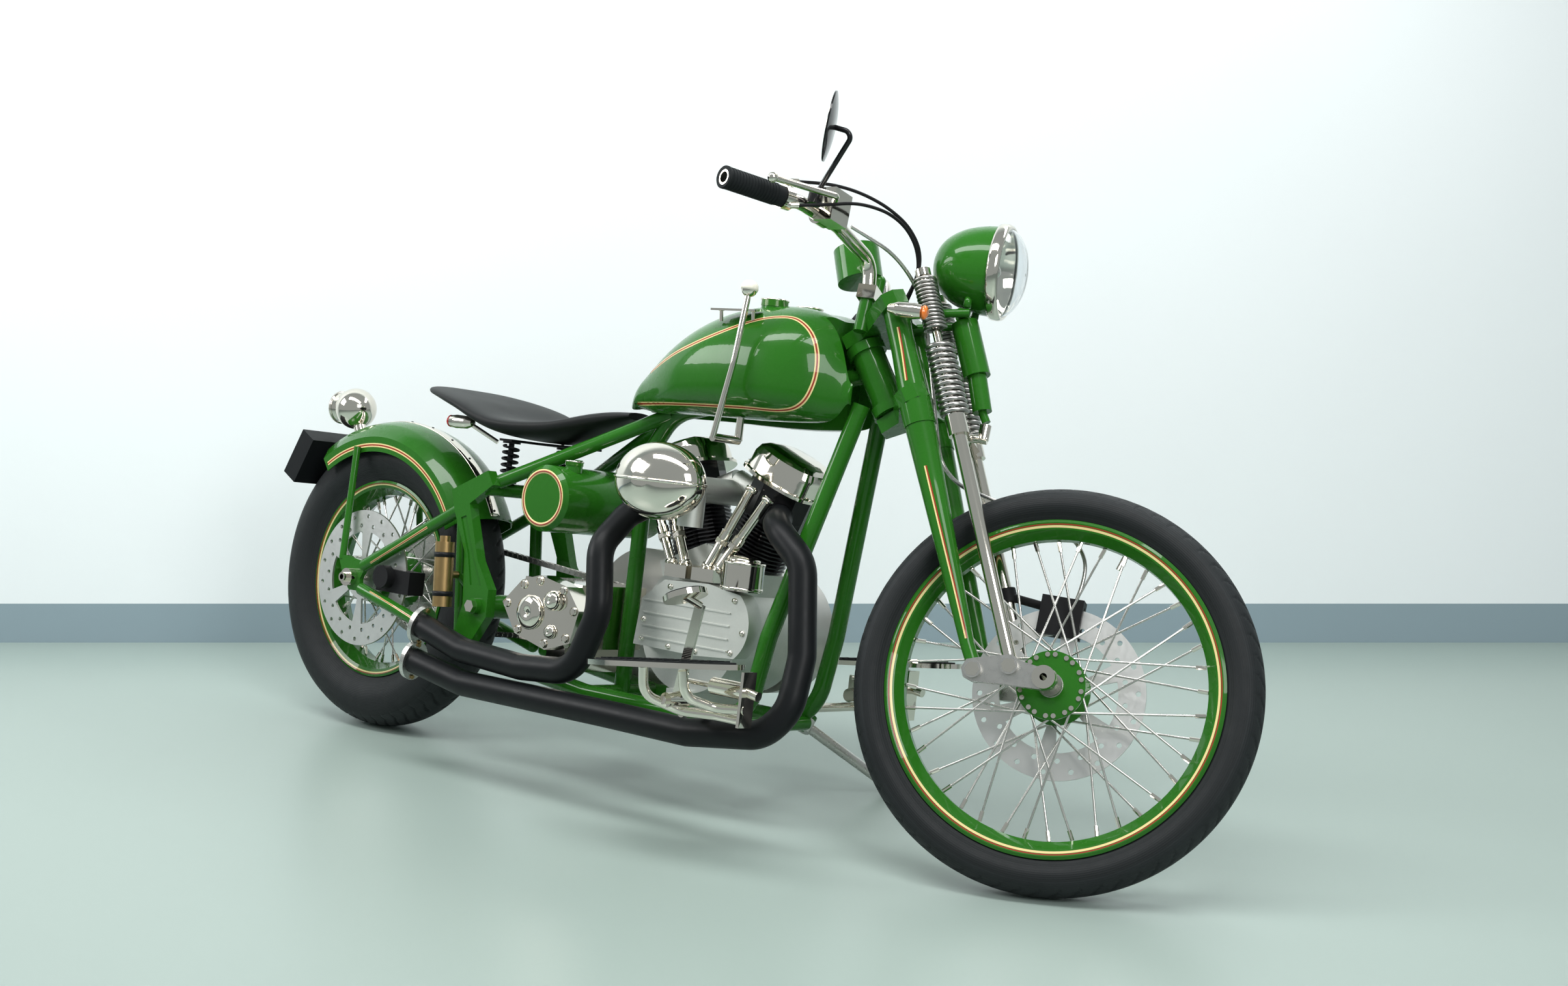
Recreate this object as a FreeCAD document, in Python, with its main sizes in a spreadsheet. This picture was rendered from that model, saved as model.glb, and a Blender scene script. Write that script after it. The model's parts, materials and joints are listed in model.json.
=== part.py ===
import FreeCAD, Part
import math
import os
from FreeCAD import Placement, Rotation, Vector

# A chopper motorcycle leaning on its side stand, with its steering turned to the left stop.
# Every piece is drawn on the upright machine: X forward, Y to its left, Z up, rear axle over X = 0.
# The last step leans the machine over and sets both tyres on the ground.

os.makedirs("parts", exist_ok=True)
doc = FreeCAD.newDocument("Chopper")
sheet = doc.addObject("Spreadsheet::Sheet", "Sizes")

# Driving sizes in millimetres; a name ending in deg is an angle, in count a number of copies.
layout_sizes = dict(
    wheelbase=1655.6, rake_deg=34.0, fork_offset=69.0, lean_deg=10.1, lock_deg=23.7,
    seat_gap=0.3, run_gap=0.05, lap=1.0)

wheel_sizes = dict(
    rear_tyre_radius=320.6, rear_tyre_half_width=65.0, rear_rim_radius=213.6, rear_rim_half_width=45.0,
    rear_flange_radius=62.0, rear_hub_radius=34.0, rear_crown_radius=78.0,
    front_tyre_radius=339.0, front_tyre_half_width=44.0, front_rim_radius=280.5,
    front_rim_half_width=31.0, front_flange_radius=57.0, front_hub_radius=25.0,
    front_crown_radius=50.0, rim_well_depth=30.0, rim_wall=5.0, bead_depth=11.0,
    spoke_radius=2.0, spoke_count=40.0, spoke_lean_deg=52.0, hub_half_width=36.0,
    flange_thickness=5.0, axle_radius=10.0, axle_bore_radius=6.0,
    disc_radius=146.0, disc_band=46.0, disc_thickness=5.0, disc_hole_radius=4.5,
    disc_hole_count=18.0, disc_bolt_circle_radius=36.0, rear_disc_y=84.0, front_disc_y=54.0,
    sprocket_radius=105.0, sprocket_thickness=6.0, chain_y=80.0, chain_width=13.0,
    chain_height=14.0, front_sprocket_radius=45.0)

frame_sizes = dict(
    tube_radius=16.0, rail_radius=14.0, backbone_radius=22.0, stem_radius=30.0, cup_radius=35.0,
    stem_low=560.0, stem_high=700.0, cup_height=18.0,
    down_top_x=1238.0, down_top_y=32.0, down_top_z=775.0, down_low_x=1144.0, down_low_y=100.0,
    down_low_z=350.0, cradle_front_x=1112.0, cradle_z=184.0, cradle_rear_x=385.0,
    cradle_rear_y=104.0, cradle_rear_z=222.0, cradle_bend=95.0,
    backbone_front_z=835.0, backbone_rear_x=772.0, backbone_rear_z=733.0,
    post_x=716.0, post_knee_z=650.0, seat_rail_low_x=424.0, seat_rail_low_y=112.0, seat_rail_low_z=563.0,
    seat_rail_top_y=12.0, casting_y=130.0, casting_width=22.0, casting_top_z=583.0,
    casting_bottom_z=205.0, pivot_x=428.0, pivot_z=312.0, pivot_radius=12.0)

swing_sizes = dict(
    arm_y=108.0, arm_radius=13.0, plate_thickness=10.0, plate_radius=30.0,
    arm_front_y=103.0, arm_top_x=318.0, arm_top_z=502.0, arm_low_x=352.0, arm_low_z=222.0,
    strut_radius=7.5, strut_top_x=-62.0, strut_top_z=600.0, strut_foot_x=-44.0, strut_foot_z=356.0,
    axle_end_y=140.0, front_axle_end_y=117.0, nut_radius=19.0)

fender_sizes = dict(
    fender_crown_radius=346.0, fender_skirt_radius=274.0, fender_half_width=80.0, fender_wall=3.0,
    fender_rear_deg=37.0, fender_front_deg=62.0, lamp_radius=46.0, lamp_x=-193.0, lamp_z=685.0,
    plate_box_width=180.0, plate_box_height=112.0, plate_box_depth=46.0, plate_box_x=-262.0,
    plate_box_z=565.0, plate_box_tilt_deg=28.0)

saddle_sizes = dict(
    saddle_rear_x=150.0, saddle_length=530.0, saddle_half_width=165.0, saddle_nose_half_width=52.0,
    saddle_rear_z=742.0, saddle_low_z=676.0, saddle_nose_z=722.0, saddle_thickness=46.0,
    spring_x=385.0, spring_y=76.0, spring_radius=18.0, spring_wire=3.2,
    front_spring_x=545.0)

tank_sizes = dict(
    tank_rear_x=684.0, tank_front_x=1262.0, tank_half_width=150.0, tank_bottom_z=733.0,
    tank_top_z=943.0, tunnel_half_width=27.0, cap_radius=24.0, cap_x=1031.0, cap_y=52.0, cap_height=9.0,
    oil_tank_x=589.0, oil_tank_z=543.0, oil_tank_radius=65.0, oil_tank_half_length=150.0)

engine_sizes = dict(
    crank_x=950.0, crank_z=338.0, bank_deg=22.5, case_half_width=92.0, case_radius=118.0,
    barrel_base=148.0, barrel_top=238.0, barrel_radius=62.0, bore_radius=46.0, fin_count=12.0,
    fin_thickness=2.6, head_top=306.0, head_radius=66.0, cover_height=60.0, cover_half_length=86.0,
    cover_half_width=70.0, cam_cover_y=128.0, cleaner_x=940.0, cleaner_y=206.0, cleaner_z=602.0,
    cleaner_half_length=98.0, cleaner_half_height=70.0, cleaner_half_depth=56.0,
    timer_radius=38.0, timer_height=52.0, pushrod_radius=9.0,
    gearbox_x=630.0, gearbox_z=326.0, gearbox_length=214.0, gearbox_height=140.0,
    gearbox_half_width=120.0, primary_y=128.0, primary_depth=62.0,
    pipe_radius=25.0, pipe_y=200.0)

fork_sizes = dict(
    leg_y=80.0, leg_top_radius=22.0, leg_mid_radius=28.0, leg_low_radius=12.0,
    spring_leg_y=76.0, spring_leg_radius=12.0, rocker_y=96.0, rocker_thickness=14.0,
    rocker_length=117.0, rocker_pivot_share=0.49, main_spring_radius=26.0, rebound_spring_radius=21.0,
    damper_radius=24.0, damper_low_radius=17.0, lamp_shell_radius=80.0, headlamp_x=1419.0,
    headlamp_z=1050.0, headlamp_depth=116.0, rim_radius=86.0, rim_depth=18.0, lens_bulge=34.0,
    bar_radius=12.7, bar_half_width=400.0, grip_radius=18.0, grip_length=124.0,
    mirror_radius=59.0, bar_bore_radius=9.5, bar_bore_depth=60.0, bullet_radius=14.0, bullet_length=66.0, spring_lean_deg=23.9,
    yoke_up=435.0, main_spring_length=137.0, rebound_spring_length=102.0, leg_foot_y=75.0, leg_line_top=728.0, leg_line_length=629.0, leg_top_ahead=86.0,
    leg_foot_ahead=-29.0,
    tree_low=530.0, tree_high=704.0, tree_thickness=26.0, rocker_half=20.0, rocker_drop=7.0,
    spring_pivot_rise=9.0, cable_radius=3.0, hose_radius=3.5, perch_along=25.0, perch_near=2.0, perch_far=40.0, perch_below=16.0,
    perch_above=42.0, lever_radius=5.5)

board_sizes = dict(
    board_x=1110.0, board_y=330.0, board_z=292.0, board_tilt_deg=6.5, board_half_length=165.0,
    board_half_width=55.0, board_thickness=9.0, board_tube_radius=8.5, support_x=1100.0, support_z=212.0,
    support_y=262.0, bracket_x=1228.0, bracket_y=245.0, bracket_half_width=17.0, bracket_low_z=206.0,
    bracket_high_z=300.0, pedal_radius=38.0, pedal_hub_radius=13.0, pedal_arm_width=20.0,
    pedal_arm_thickness=5.0, foot_cylinder_radius=15.0, gate_x=1000.0, gate_y=118.0, gate_z=923.6,
    gate_half_length=46.0, gate_half_width=21.0, gate_thickness=4.0, gate_tilt_deg=8.0)

# Places along the longer parts, in the same frame; y is given for the side named or mirrored
places = dict(
    rear_pipe=[(798.2, -53.5, 563.4), (783, -112, 532), (788, -182, 470), (822, -200, 350), (775, -200, 232),
               (636, -200, 221), (469, -200, 229), (337, -200, 262)],
    front_pipe=[(1094.6, -47.7, 560.1), (1148, -122, 545), (1224, -130, 488), (1262, -152, 330), (1268, -178, 240),
                (1232, -197, 192), (1066, -200, 170), (868, -200, 170), (480, -200, 166), (324, -200, 190)],
    damper=[(1374, 0, 957), (1420, 0, 853), (1442, 0, 791), (1453, 0, 773)],
    lamp_bracket=[(1236, 34, 930), (1330, 34, 948), (1392, 34, 957)],
    mirror=[(1147.2, -262, 1052), (1160, -272, 1078), (1213, -330, 1142), (1172, -330, 1150)],
    throttle_exit=[(1102, -287, 1042), (1100.8, -268.9, 1071.6), (1109.7, -260.3, 1075.8)],
    throttle_return=[(1110, -292, 1023), (1118, -291, 1020), (1129.6, -285.2, 1023.9)],
    lever=[(1168, -222, 1060), (1184, -262, 1056), (1111, -380, 1030)],
    perch=[(1141.7, -198, 1043.3)],
    cable_one=[(1110, -260, 1076), (1142.8, -228.2, 1091.2), (1176, -194.4, 1100.1), (1208, -158.6, 1102.2),
               (1238.8, -121.8, 1097.2), (1268, -87, 1082), (1288.7, -58.2, 1050.2),
               (1287.9, -39.9, 1006.2), (1270.2, -34, 962.2)],
    cable_two=[(1130, -285, 1024), (1172.2, -263.8, 1038.1), (1203.1, -231.4, 1059.3),
               (1225.4, -189.2, 1073.2), (1247.3, -145.2, 1080.3), (1269.1, -101.3, 1072.9),
               (1284.4, -61.3, 1048.4), (1286.4, -34.1, 1007.5), (1270.2, -23, 962.2)],
    brake_hose=[(1190, -172, 1040), (1226.4, -139.1, 1031.2), (1253.9, -97, 1024.4),
                (1280.7, -59.8, 1001.5), (1302.4, -27.2, 969), (1318.1, -17.1, 922), (1333.2, -18.7, 873),
                (1348.7, -19.7, 824.2), (1364.2, -22.2, 775.4), (1380.1, -28.6, 727.2),
                (1397.8, -32.3, 679.5), (1429.3, -7, 653.7), (1459.1, 34.6, 653.6), (1501.7, 59.2, 647.8),
                (1551.8, 61.4, 637.5), (1601, 64, 623.6), (1644.2, 64, 596.8), (1664.7, 61.4, 551.3),
                (1655, 58, 501.2)],
    board_tube_rear=[(1063, 330, 286), (1063, 322, 238), (1100, 262, 214), (1160, 243, 216), (1228, 243, 216)],
    board_tube_front=[(1152, 330, 292), (1156, 322, 248), (1178, 268, 232), (1228, 250, 236)],
    pedal_arm=[(1088, 264, 232), (1134, 283, 402)],
    pedal_pad=[(1125, 312, 410), (1121, 312, 419)],
    pedal_hub=[(1088, 238, 232), (1088, 292, 232), (1088, 300, 232)],
    foot_cylinder=[(1152, 246, 266), (1226, 246, 266), (1252, 246, 262)],
    shroud=[(1172, 0, 1002), (1150, 0, 1062)],
    front_indicator=[(1270, 123, 918), (1304, 123, 918), (1290.2, 100.1, 918)],
    front_caliper=[(1600, 38, 434), (1672, 72, 500), (1540, 72, 491)],
    rear_caliper=[(72, -104, 302.5), (176, -62, 351), (106, -104, 334), (106, -124, 334)],
    canister=[(345, -156, 300), (333, -156, 430)],
    rear_indicator=[(345, 128, 675), (330, 128, 675), (387.6, 94.9, 641.9)],
    handlebar=[(1206, 45, 966), (1200, 56, 1022), (1158, 150, 1046), (1122, 256, 1040), (1035, 400, 1014)],
    shifter=[(1022, -172, 690), (1052, -172, 830), (1058, -160, 958)],
    stand=[(1064, 140, 174), (1180, 300, 60)],
    stand_axis=[(0.0415, 0.551, 0.8335)])

all_sizes = {}
for group in (layout_sizes, wheel_sizes, frame_sizes, swing_sizes, fender_sizes, saddle_sizes,
              tank_sizes, engine_sizes, fork_sizes, board_sizes):
    all_sizes.update(group)
for row, (alias, value) in enumerate(all_sizes.items(), start=1):
    sheet.set(f"A{row}", alias)
    sheet.set(f"B{row}", str(value))
    sheet.setAlias(f"B{row}", alias)
doc.recompute()


class Sizes:
    def __getattr__(self, alias):
        return float(sheet.get(alias))


s = Sizes()
x_axis = Vector(1, 0, 0)
y_axis = Vector(0, 1, 0)
z_axis = Vector(0, 0, 1)
sides = {"left": 1, "right": -1}


# Helpers that add objects to the document


def bind(thing, **expressions):
    for prop, text in expressions.items():
        thing.setExpression(prop, text)
    return thing


def unique(name):
    number = 1
    while doc.getObject(f"{name}{number}"):
        number += 1
    return f"{name}{number}"


def aimed(point, direction, roll=None):
    """Place local Z along a direction."""
    return Placement(point, Rotation(z_axis, direction))


def rod(start, end, radius):
    thing = doc.addObject("Part::Cylinder", unique("rod"))
    bind(thing, Radius=radius)
    thing.Height = (end - start).Length
    thing.Placement = aimed(start, end - start)
    return thing


def taper(start, end, radius_start, radius_end):
    thing = doc.addObject("Part::Cone", unique("taper"))
    bind(thing, Radius1=radius_start, Radius2=radius_end)
    thing.Height = (end - start).Length
    thing.Placement = aimed(start, end - start)
    return thing


def ball(centre, radius):
    thing = doc.addObject("Part::Sphere", unique("ball"))
    bind(thing, Radius=radius)
    thing.Placement = Placement(centre, Rotation())
    return thing


def block(low, high):
    thing = doc.addObject("Part::Box", unique("block"))
    thing.Length = high.x - low.x
    thing.Width = high.y - low.y
    thing.Height = high.z - low.z
    thing.Placement = Placement(low, Rotation())
    return thing


def shape_of(shape, name="piece"):
    thing = doc.addObject("Part::Feature", unique(name))
    thing.Shape = shape
    return thing


def rounded_path(points, bend):
    """Straight runs joined by tangent arcs, each arc no larger than its runs allow."""
    edges = []
    last = points[0]
    for before, corner, after in zip(points, points[1:], points[2:]):
        one = (before - corner).normalize()
        two = (after - corner).normalize()
        turn = math.pi - one.getAngle(two)
        room = 0.45 * min((before - corner).Length, (after - corner).Length)
        reach = min(bend * math.tan(turn / 2), room)
        start = corner + one * reach
        end = corner + two * reach
        radius = reach / math.tan(turn / 2)
        inward = (one + two).normalize()
        middle = corner + inward * (radius / math.cos(turn / 2) - radius)
        edges.append(Part.LineSegment(last, start).toShape())
        edges.append(Part.Arc(start, middle, end).toShape())
        last = end
    edges.append(Part.LineSegment(last, points[-1]).toShape())
    return Part.Wire(edges)


def tube(points, radius, bend):
    wire = rounded_path(points, bend)
    path = shape_of(wire, "path")
    ring = doc.addObject("Part::Circle", unique("ring"))
    bind(ring, Radius=radius)
    ring.Placement = aimed(points[0], points[1] - points[0])
    sweep = doc.addObject("Part::Sweep", unique("tube"))
    sweep.Sections = [ring]
    sweep.Spine = (path, [f"Edge{i + 1}" for i in range(len(wire.Edges))])
    sweep.Solid = True
    return sweep


def fused(things, name=None):
    if len(things) == 1:
        return things[0]
    thing = doc.addObject("Part::MultiFuse", name or unique("fused"))
    thing.Shapes = things
    return thing


def fused_in_turn(things, name):
    """Join pieces one after another, for a set whose joint fuse is not sound."""
    whole = things[0]
    for number, thing in enumerate(things[1:], start=2):
        last = number == len(things)
        step = doc.addObject("Part::Fuse", name if last else unique("step"))
        step.Base = whole
        step.Tool = thing
        whole = step
    return whole


def cut(base, tool, name=None):
    thing = doc.addObject("Part::Cut", name or unique("cut"))
    thing.Base = base
    thing.Tool = tool
    return thing


def group(things, name=None):
    thing = doc.addObject("Part::Compound", name or unique("group"))
    thing.Links = things
    return thing


def loft(wires, name=None):
    thing = doc.addObject("Part::Loft", name or unique("loft"))
    thing.Sections = [shape_of(wire, "section") for wire in wires]
    thing.Solid = True
    return thing


def outline_edges(points):
    """Points are (u, v); a third item marks the middle of an arc between its neighbours."""
    edges = []
    closed = points + [points[0]]
    index = 0
    while index < len(closed) - 1:
        here = Vector(closed[index][0], closed[index][1], 0)
        following = closed[index + 1]
        if len(following) > 2:
            end = closed[index + 2]
            edges.append(Part.Arc(here, Vector(following[0], following[1], 0), Vector(end[0], end[1], 0)))
            index += 2
        else:
            edges.append(Part.LineSegment(here, Vector(following[0], following[1], 0)))
            index += 1
    return edges


def sketch_in(body, role, points, offset=0):
    sketch = body.newObject("Sketcher::SketchObject", unique("sketch"))
    plane = [item for item in body.Origin.OriginFeatures if item.Role == role][0]
    sketch.AttachmentSupport = (plane, [""])
    sketch.MapMode = "FlatFace"
    sketch.AttachmentOffset = Placement(Vector(0, 0, offset), Rotation())
    for edge in outline_edges(points):
        sketch.addGeometry(edge, False)
    return sketch


def turned(points, name=None, angle=360):
    """A body turned about its own Z axis from points (radius, height)."""
    body = doc.addObject("PartDesign::Body", name or unique("turned"))
    sketch = sketch_in(body, "XZ_Plane", points)
    revolution = body.newObject("PartDesign::Revolution", unique("revolution"))
    revolution.Profile = sketch
    revolution.ReferenceAxis = (sketch, ["V_Axis"])
    revolution.Angle = angle
    return body


def plate(points, depth, name=None):
    """A body padded along its own Z axis from an outline in its XY plane."""
    body = doc.addObject("PartDesign::Body", name or unique("plate"))
    sketch = sketch_in(body, "XY_Plane", points)
    pad = body.newObject("PartDesign::Pad", unique("pad"))
    pad.Profile = sketch
    if isinstance(depth, str):
        bind(pad, Length=depth)
    else:
        pad.Length = depth
    return body


def put(thing, point, direction=z_axis):
    thing.Placement = aimed(point, direction)
    return thing


def side_plate(points, depth, y, name=None):
    """A plate with its outline drawn in X and Z, its middle at y."""
    body = plate([(p[0], p[1]) + tuple(p[2:]) for p in points], depth, name)
    thickness = s_value(depth)
    body.Placement = Placement(Vector(0, y + thickness / 2, 0), Rotation(x_axis, 90))
    return body


def s_value(text):
    if isinstance(text, str):
        return float(sheet.get(text.replace("Sizes.", "")))
    return text


def spots(name, side=1):
    return [Vector(x, y * side, z) for x, y, z in places[name]]


# Steering geometry: the axis leans back by the rake, and the axle sits ahead of it


rake = math.radians(s.rake_deg)
steer_up = Vector(-math.sin(rake), 0, math.cos(rake))
steer_ahead = Vector(math.cos(rake), 0, math.sin(rake))
rear_axle = Vector(0, 0, s.rear_tyre_radius)
front_axle = Vector(s.wheelbase, 0, s.front_tyre_radius)
steer_foot = front_axle - steer_ahead * s.fork_offset


def on_fork(up, ahead, side=0):
    return steer_foot + steer_up * up + steer_ahead * ahead + y_axis * side


def lowest(centre, normal, radius, crown):
    rise = math.sqrt(1 - normal.z ** 2)
    return centre.z - (radius - crown) * rise - crown


def settled(pitch):
    turn = Rotation(x_axis, -s.lean_deg).multiply(Rotation(y_axis, pitch))
    steer = Rotation(steer_up, s.lock_deg)
    hub = steer_foot + steer.multVec(front_axle - steer_foot)
    rear_low = lowest(turn.multVec(rear_axle), turn.multVec(y_axis), s.rear_tyre_radius,
                      s.rear_crown_radius)
    front_low = lowest(turn.multVec(hub), turn.multVec(steer.multVec(y_axis)), s.front_tyre_radius,
                       s.front_crown_radius)
    return turn, rear_low, front_low


pitch = 0.0
for step in range(12):
    turn, rear_low, front_low = settled(pitch)
    pitch += math.degrees((front_low - rear_low) / s.wheelbase)
turn, rear_low, front_low = settled(pitch)
standing = Placement(Vector(0, 0, -rear_low), turn)
steered = standing.multiply(Placement(steer_foot - Rotation(steer_up, s.lock_deg).multVec(steer_foot),
                                      Rotation(steer_up, s.lock_deg)))
nodes = []


def keep(thing, name, pose):
    """Give a finished piece its label and its place on the leaned machine."""
    thing.Label = name
    thing.Placement = pose.multiply(thing.Placement)
    nodes.append(thing)
    return thing


# Wheels


def tyre(radius, half, rim_radius, rim_half, crown, name, pose):
    bead = rim_radius - s.bead_depth
    seat = rim_half - s.rim_wall - s.seat_gap
    shoulder_z = half * 0.62
    drop = crown - math.sqrt(crown ** 2 - shoulder_z ** 2)
    shoulder = radius - drop
    bulge = rim_radius + (shoulder - rim_radius) * 0.52
    points = [(bead, -seat), (rim_radius + s.seat_gap * 4, -seat), (bulge, -half), (shoulder, -shoulder_z),
              (radius, 0, "arc"), (shoulder, shoulder_z), (bulge, half), (rim_radius + s.seat_gap * 4, seat),
              (bead, seat)]
    return turned(points, name)


def rim(radius, half, name):
    wall = s.rim_wall
    seat = radius - s.bead_depth - s.seat_gap
    well = radius - s.rim_well_depth
    inner = half - wall
    points = [(seat - wall, -half * 0.86), (radius - wall, -half), (radius, -half + wall * 0.4),
              (radius, -inner), (seat, -inner), (seat, -half * 0.5), (well + wall, -half * 0.26),
              (well + wall, half * 0.26), (seat, half * 0.5), (seat, inner), (radius, inner),
              (radius, half - wall * 0.4), (radius - wall, half), (seat - wall, half * 0.86),
              (well, half * 0.3), (well, -half * 0.3)]
    return turned(points, name)


def spokes(flange_radius, rim_reach, flange_z):
    """Crossed spokes from both hub flanges to the middle of the rim."""
    things = []
    count = int(s.spoke_count)
    hole = flange_radius - s.spoke_radius * 3
    for index in range(count):
        side = 1 if index % 2 else -1
        lean = s.spoke_lean_deg if index % 4 < 2 else -s.spoke_lean_deg
        angle = math.radians(index * 360 / count)
        root = math.radians(index * 360 / count + lean)
        inner = Vector(math.cos(root) * hole, math.sin(root) * hole, side * flange_z)
        outer = Vector(math.cos(angle) * rim_reach, math.sin(angle) * rim_reach, side * s.spoke_radius * 2)
        things.append(rod(inner, outer, "Sizes.spoke_radius"))
    return things


def hub(flange_radius, barrel_radius, rim_radius, name):
    half = s.hub_half_width
    edge = half - s.flange_thickness
    bore = s.axle_radius + s.run_gap
    boss = barrel_radius * 0.8
    points = [(bore, -half - s.flange_thickness * 2), (boss, -half - s.flange_thickness * 2),
              (boss, -half), (flange_radius, -half + s.lap),
              (flange_radius, -edge), (barrel_radius, -edge * 0.6), (barrel_radius, edge * 0.6),
              (flange_radius, edge), (flange_radius, half - s.lap), (boss, half),
              (boss, half + s.flange_thickness * 2), (bore, half + s.flange_thickness * 2)]
    shell = turned(points)
    reach = rim_radius - s.rim_well_depth - s.seat_gap * 4
    return fused([shell] + spokes(flange_radius, reach, half - s.flange_thickness / 2), name)


def disc(name):
    """A brake disc: a drilled band carried by arms from a centre ring."""
    body = doc.addObject("PartDesign::Body", name)
    outer = s.disc_radius
    inner = outer - s.disc_band
    sketch = body.newObject("Sketcher::SketchObject", unique("sketch"))
    plane = [item for item in body.Origin.OriginFeatures if item.Role == "XY_Plane"][0]
    sketch.AttachmentSupport = (plane, [""])
    sketch.MapMode = "FlatFace"
    centre = Vector(0, 0, 0)
    sketch.addGeometry(Part.Circle(centre, z_axis, outer), False)
    sketch.addGeometry(Part.Circle(centre, z_axis, s.front_hub_radius), False)
    pad = body.newObject("PartDesign::Pad", unique("pad"))
    pad.Profile = sketch
    bind(pad, Length="Sizes.disc_thickness")
    doc.recompute()
    windows = 6
    window = body.newObject("Sketcher::SketchObject", unique("sketch"))
    window.AttachmentSupport = (plane, [""])
    window.MapMode = "FlatFace"
    low = s.disc_bolt_circle_radius + s.disc_thickness * 2
    half = math.radians(360 / windows * 0.36)
    corners = []
    for radius, angle in ((low, -half), (low, 0), (low, half), (inner, half), (inner, 0), (inner, -half)):
        corners.append(Vector(radius * math.cos(angle), radius * math.sin(angle), 0))
    window.addGeometry(Part.Arc(corners[0], corners[1], corners[2]), False)
    window.addGeometry(Part.LineSegment(corners[2], corners[3]), False)
    window.addGeometry(Part.Arc(corners[3], corners[4], corners[5]), False)
    window.addGeometry(Part.LineSegment(corners[5], corners[0]), False)
    pocket = body.newObject("PartDesign::Pocket", unique("pocket"))
    pocket.Profile = window
    pocket.Type = "ThroughAll"
    pocket.Reversed = True
    ring = body.newObject("PartDesign::PolarPattern", unique("pattern"))
    ring.Originals = [pocket]
    ring.Axis = (sketch, ["N_Axis"])
    ring.Angle = 360
    ring.Occurrences = windows
    body.Tip = ring
    doc.recompute()
    holes = body.newObject("Sketcher::SketchObject", unique("sketch"))
    holes.AttachmentSupport = (plane, [""])
    holes.MapMode = "FlatFace"
    step = math.pi / s.disc_hole_count
    for share, angle in ((0.28, 0), (0.72, step)):
        radius = inner + s.disc_band * share
        centre = Vector(radius * math.cos(angle), radius * math.sin(angle), 0)
        holes.addGeometry(Part.Circle(centre, z_axis, s.disc_hole_radius), False)
    drill = body.newObject("PartDesign::Pocket", unique("pocket"))
    drill.Profile = holes
    drill.Type = "ThroughAll"
    drill.Reversed = True
    rows = body.newObject("PartDesign::PolarPattern", unique("pattern"))
    rows.Originals = [drill]
    rows.Axis = (sketch, ["N_Axis"])
    rows.Angle = 360
    rows.Occurrences = int(s.disc_hole_count)
    body.Tip = rows
    return body


def make_wheels():
    level = Rotation(x_axis, -90)
    rear = Placement(rear_axle, level)
    front = Placement(front_axle, level)
    rows = [
        (tyre(s.rear_tyre_radius, s.rear_tyre_half_width, s.rear_rim_radius, s.rear_rim_half_width,
              s.rear_crown_radius, "rear_tyre_body", rear), "rear_tyre", rear, standing),
        (rim(s.rear_rim_radius, s.rear_rim_half_width, "rear_rim_body"), "rear_rim", rear, standing),
        (hub(s.rear_flange_radius, s.rear_hub_radius, s.rear_rim_radius, "rear_hub_body"),
         "rear_hub", rear, standing),
        (tyre(s.front_tyre_radius, s.front_tyre_half_width, s.front_rim_radius, s.front_rim_half_width,
              s.front_crown_radius, "front_tyre_body", front), "front_tyre", front, steered),
        (rim(s.front_rim_radius, s.front_rim_half_width, "front_rim_body"), "front_rim", front, steered),
        (hub(s.front_flange_radius, s.front_hub_radius, s.front_rim_radius, "front_hub_body"),
         "front_hub", front, steered),
    ]
    for thing, name, place, pose in rows:
        thing.Placement = place
        keep(thing, name, pose)
    for name, centre, y, pose in (("rear_disc", rear_axle, -s.rear_disc_y, standing),
                                  ("front_disc", front_axle, s.front_disc_y, steered)):
        band = disc(name + "_band")
        inside = s.hub_half_width + s.flange_thickness * 2 + s.seat_gap
        away = 1 if y > 0 else -1
        depth = abs(y) - inside
        spacer = turned([(s.axle_radius + s.run_gap, 0), (s.disc_bolt_circle_radius, 0),
                         (s.disc_bolt_circle_radius, depth), (s.axle_radius + s.run_gap, depth)])
        spacer.Placement = Placement(centre + y_axis * inside * away, Rotation(x_axis, -90 * away))
        band.Placement = Placement(centre + y_axis * (abs(y) - s.disc_thickness / 2) * away,
                                   Rotation(x_axis, -90 * away))
        keep(fused([band, spacer], name + "_body"), name, pose)


# Frame and swing arm


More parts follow.
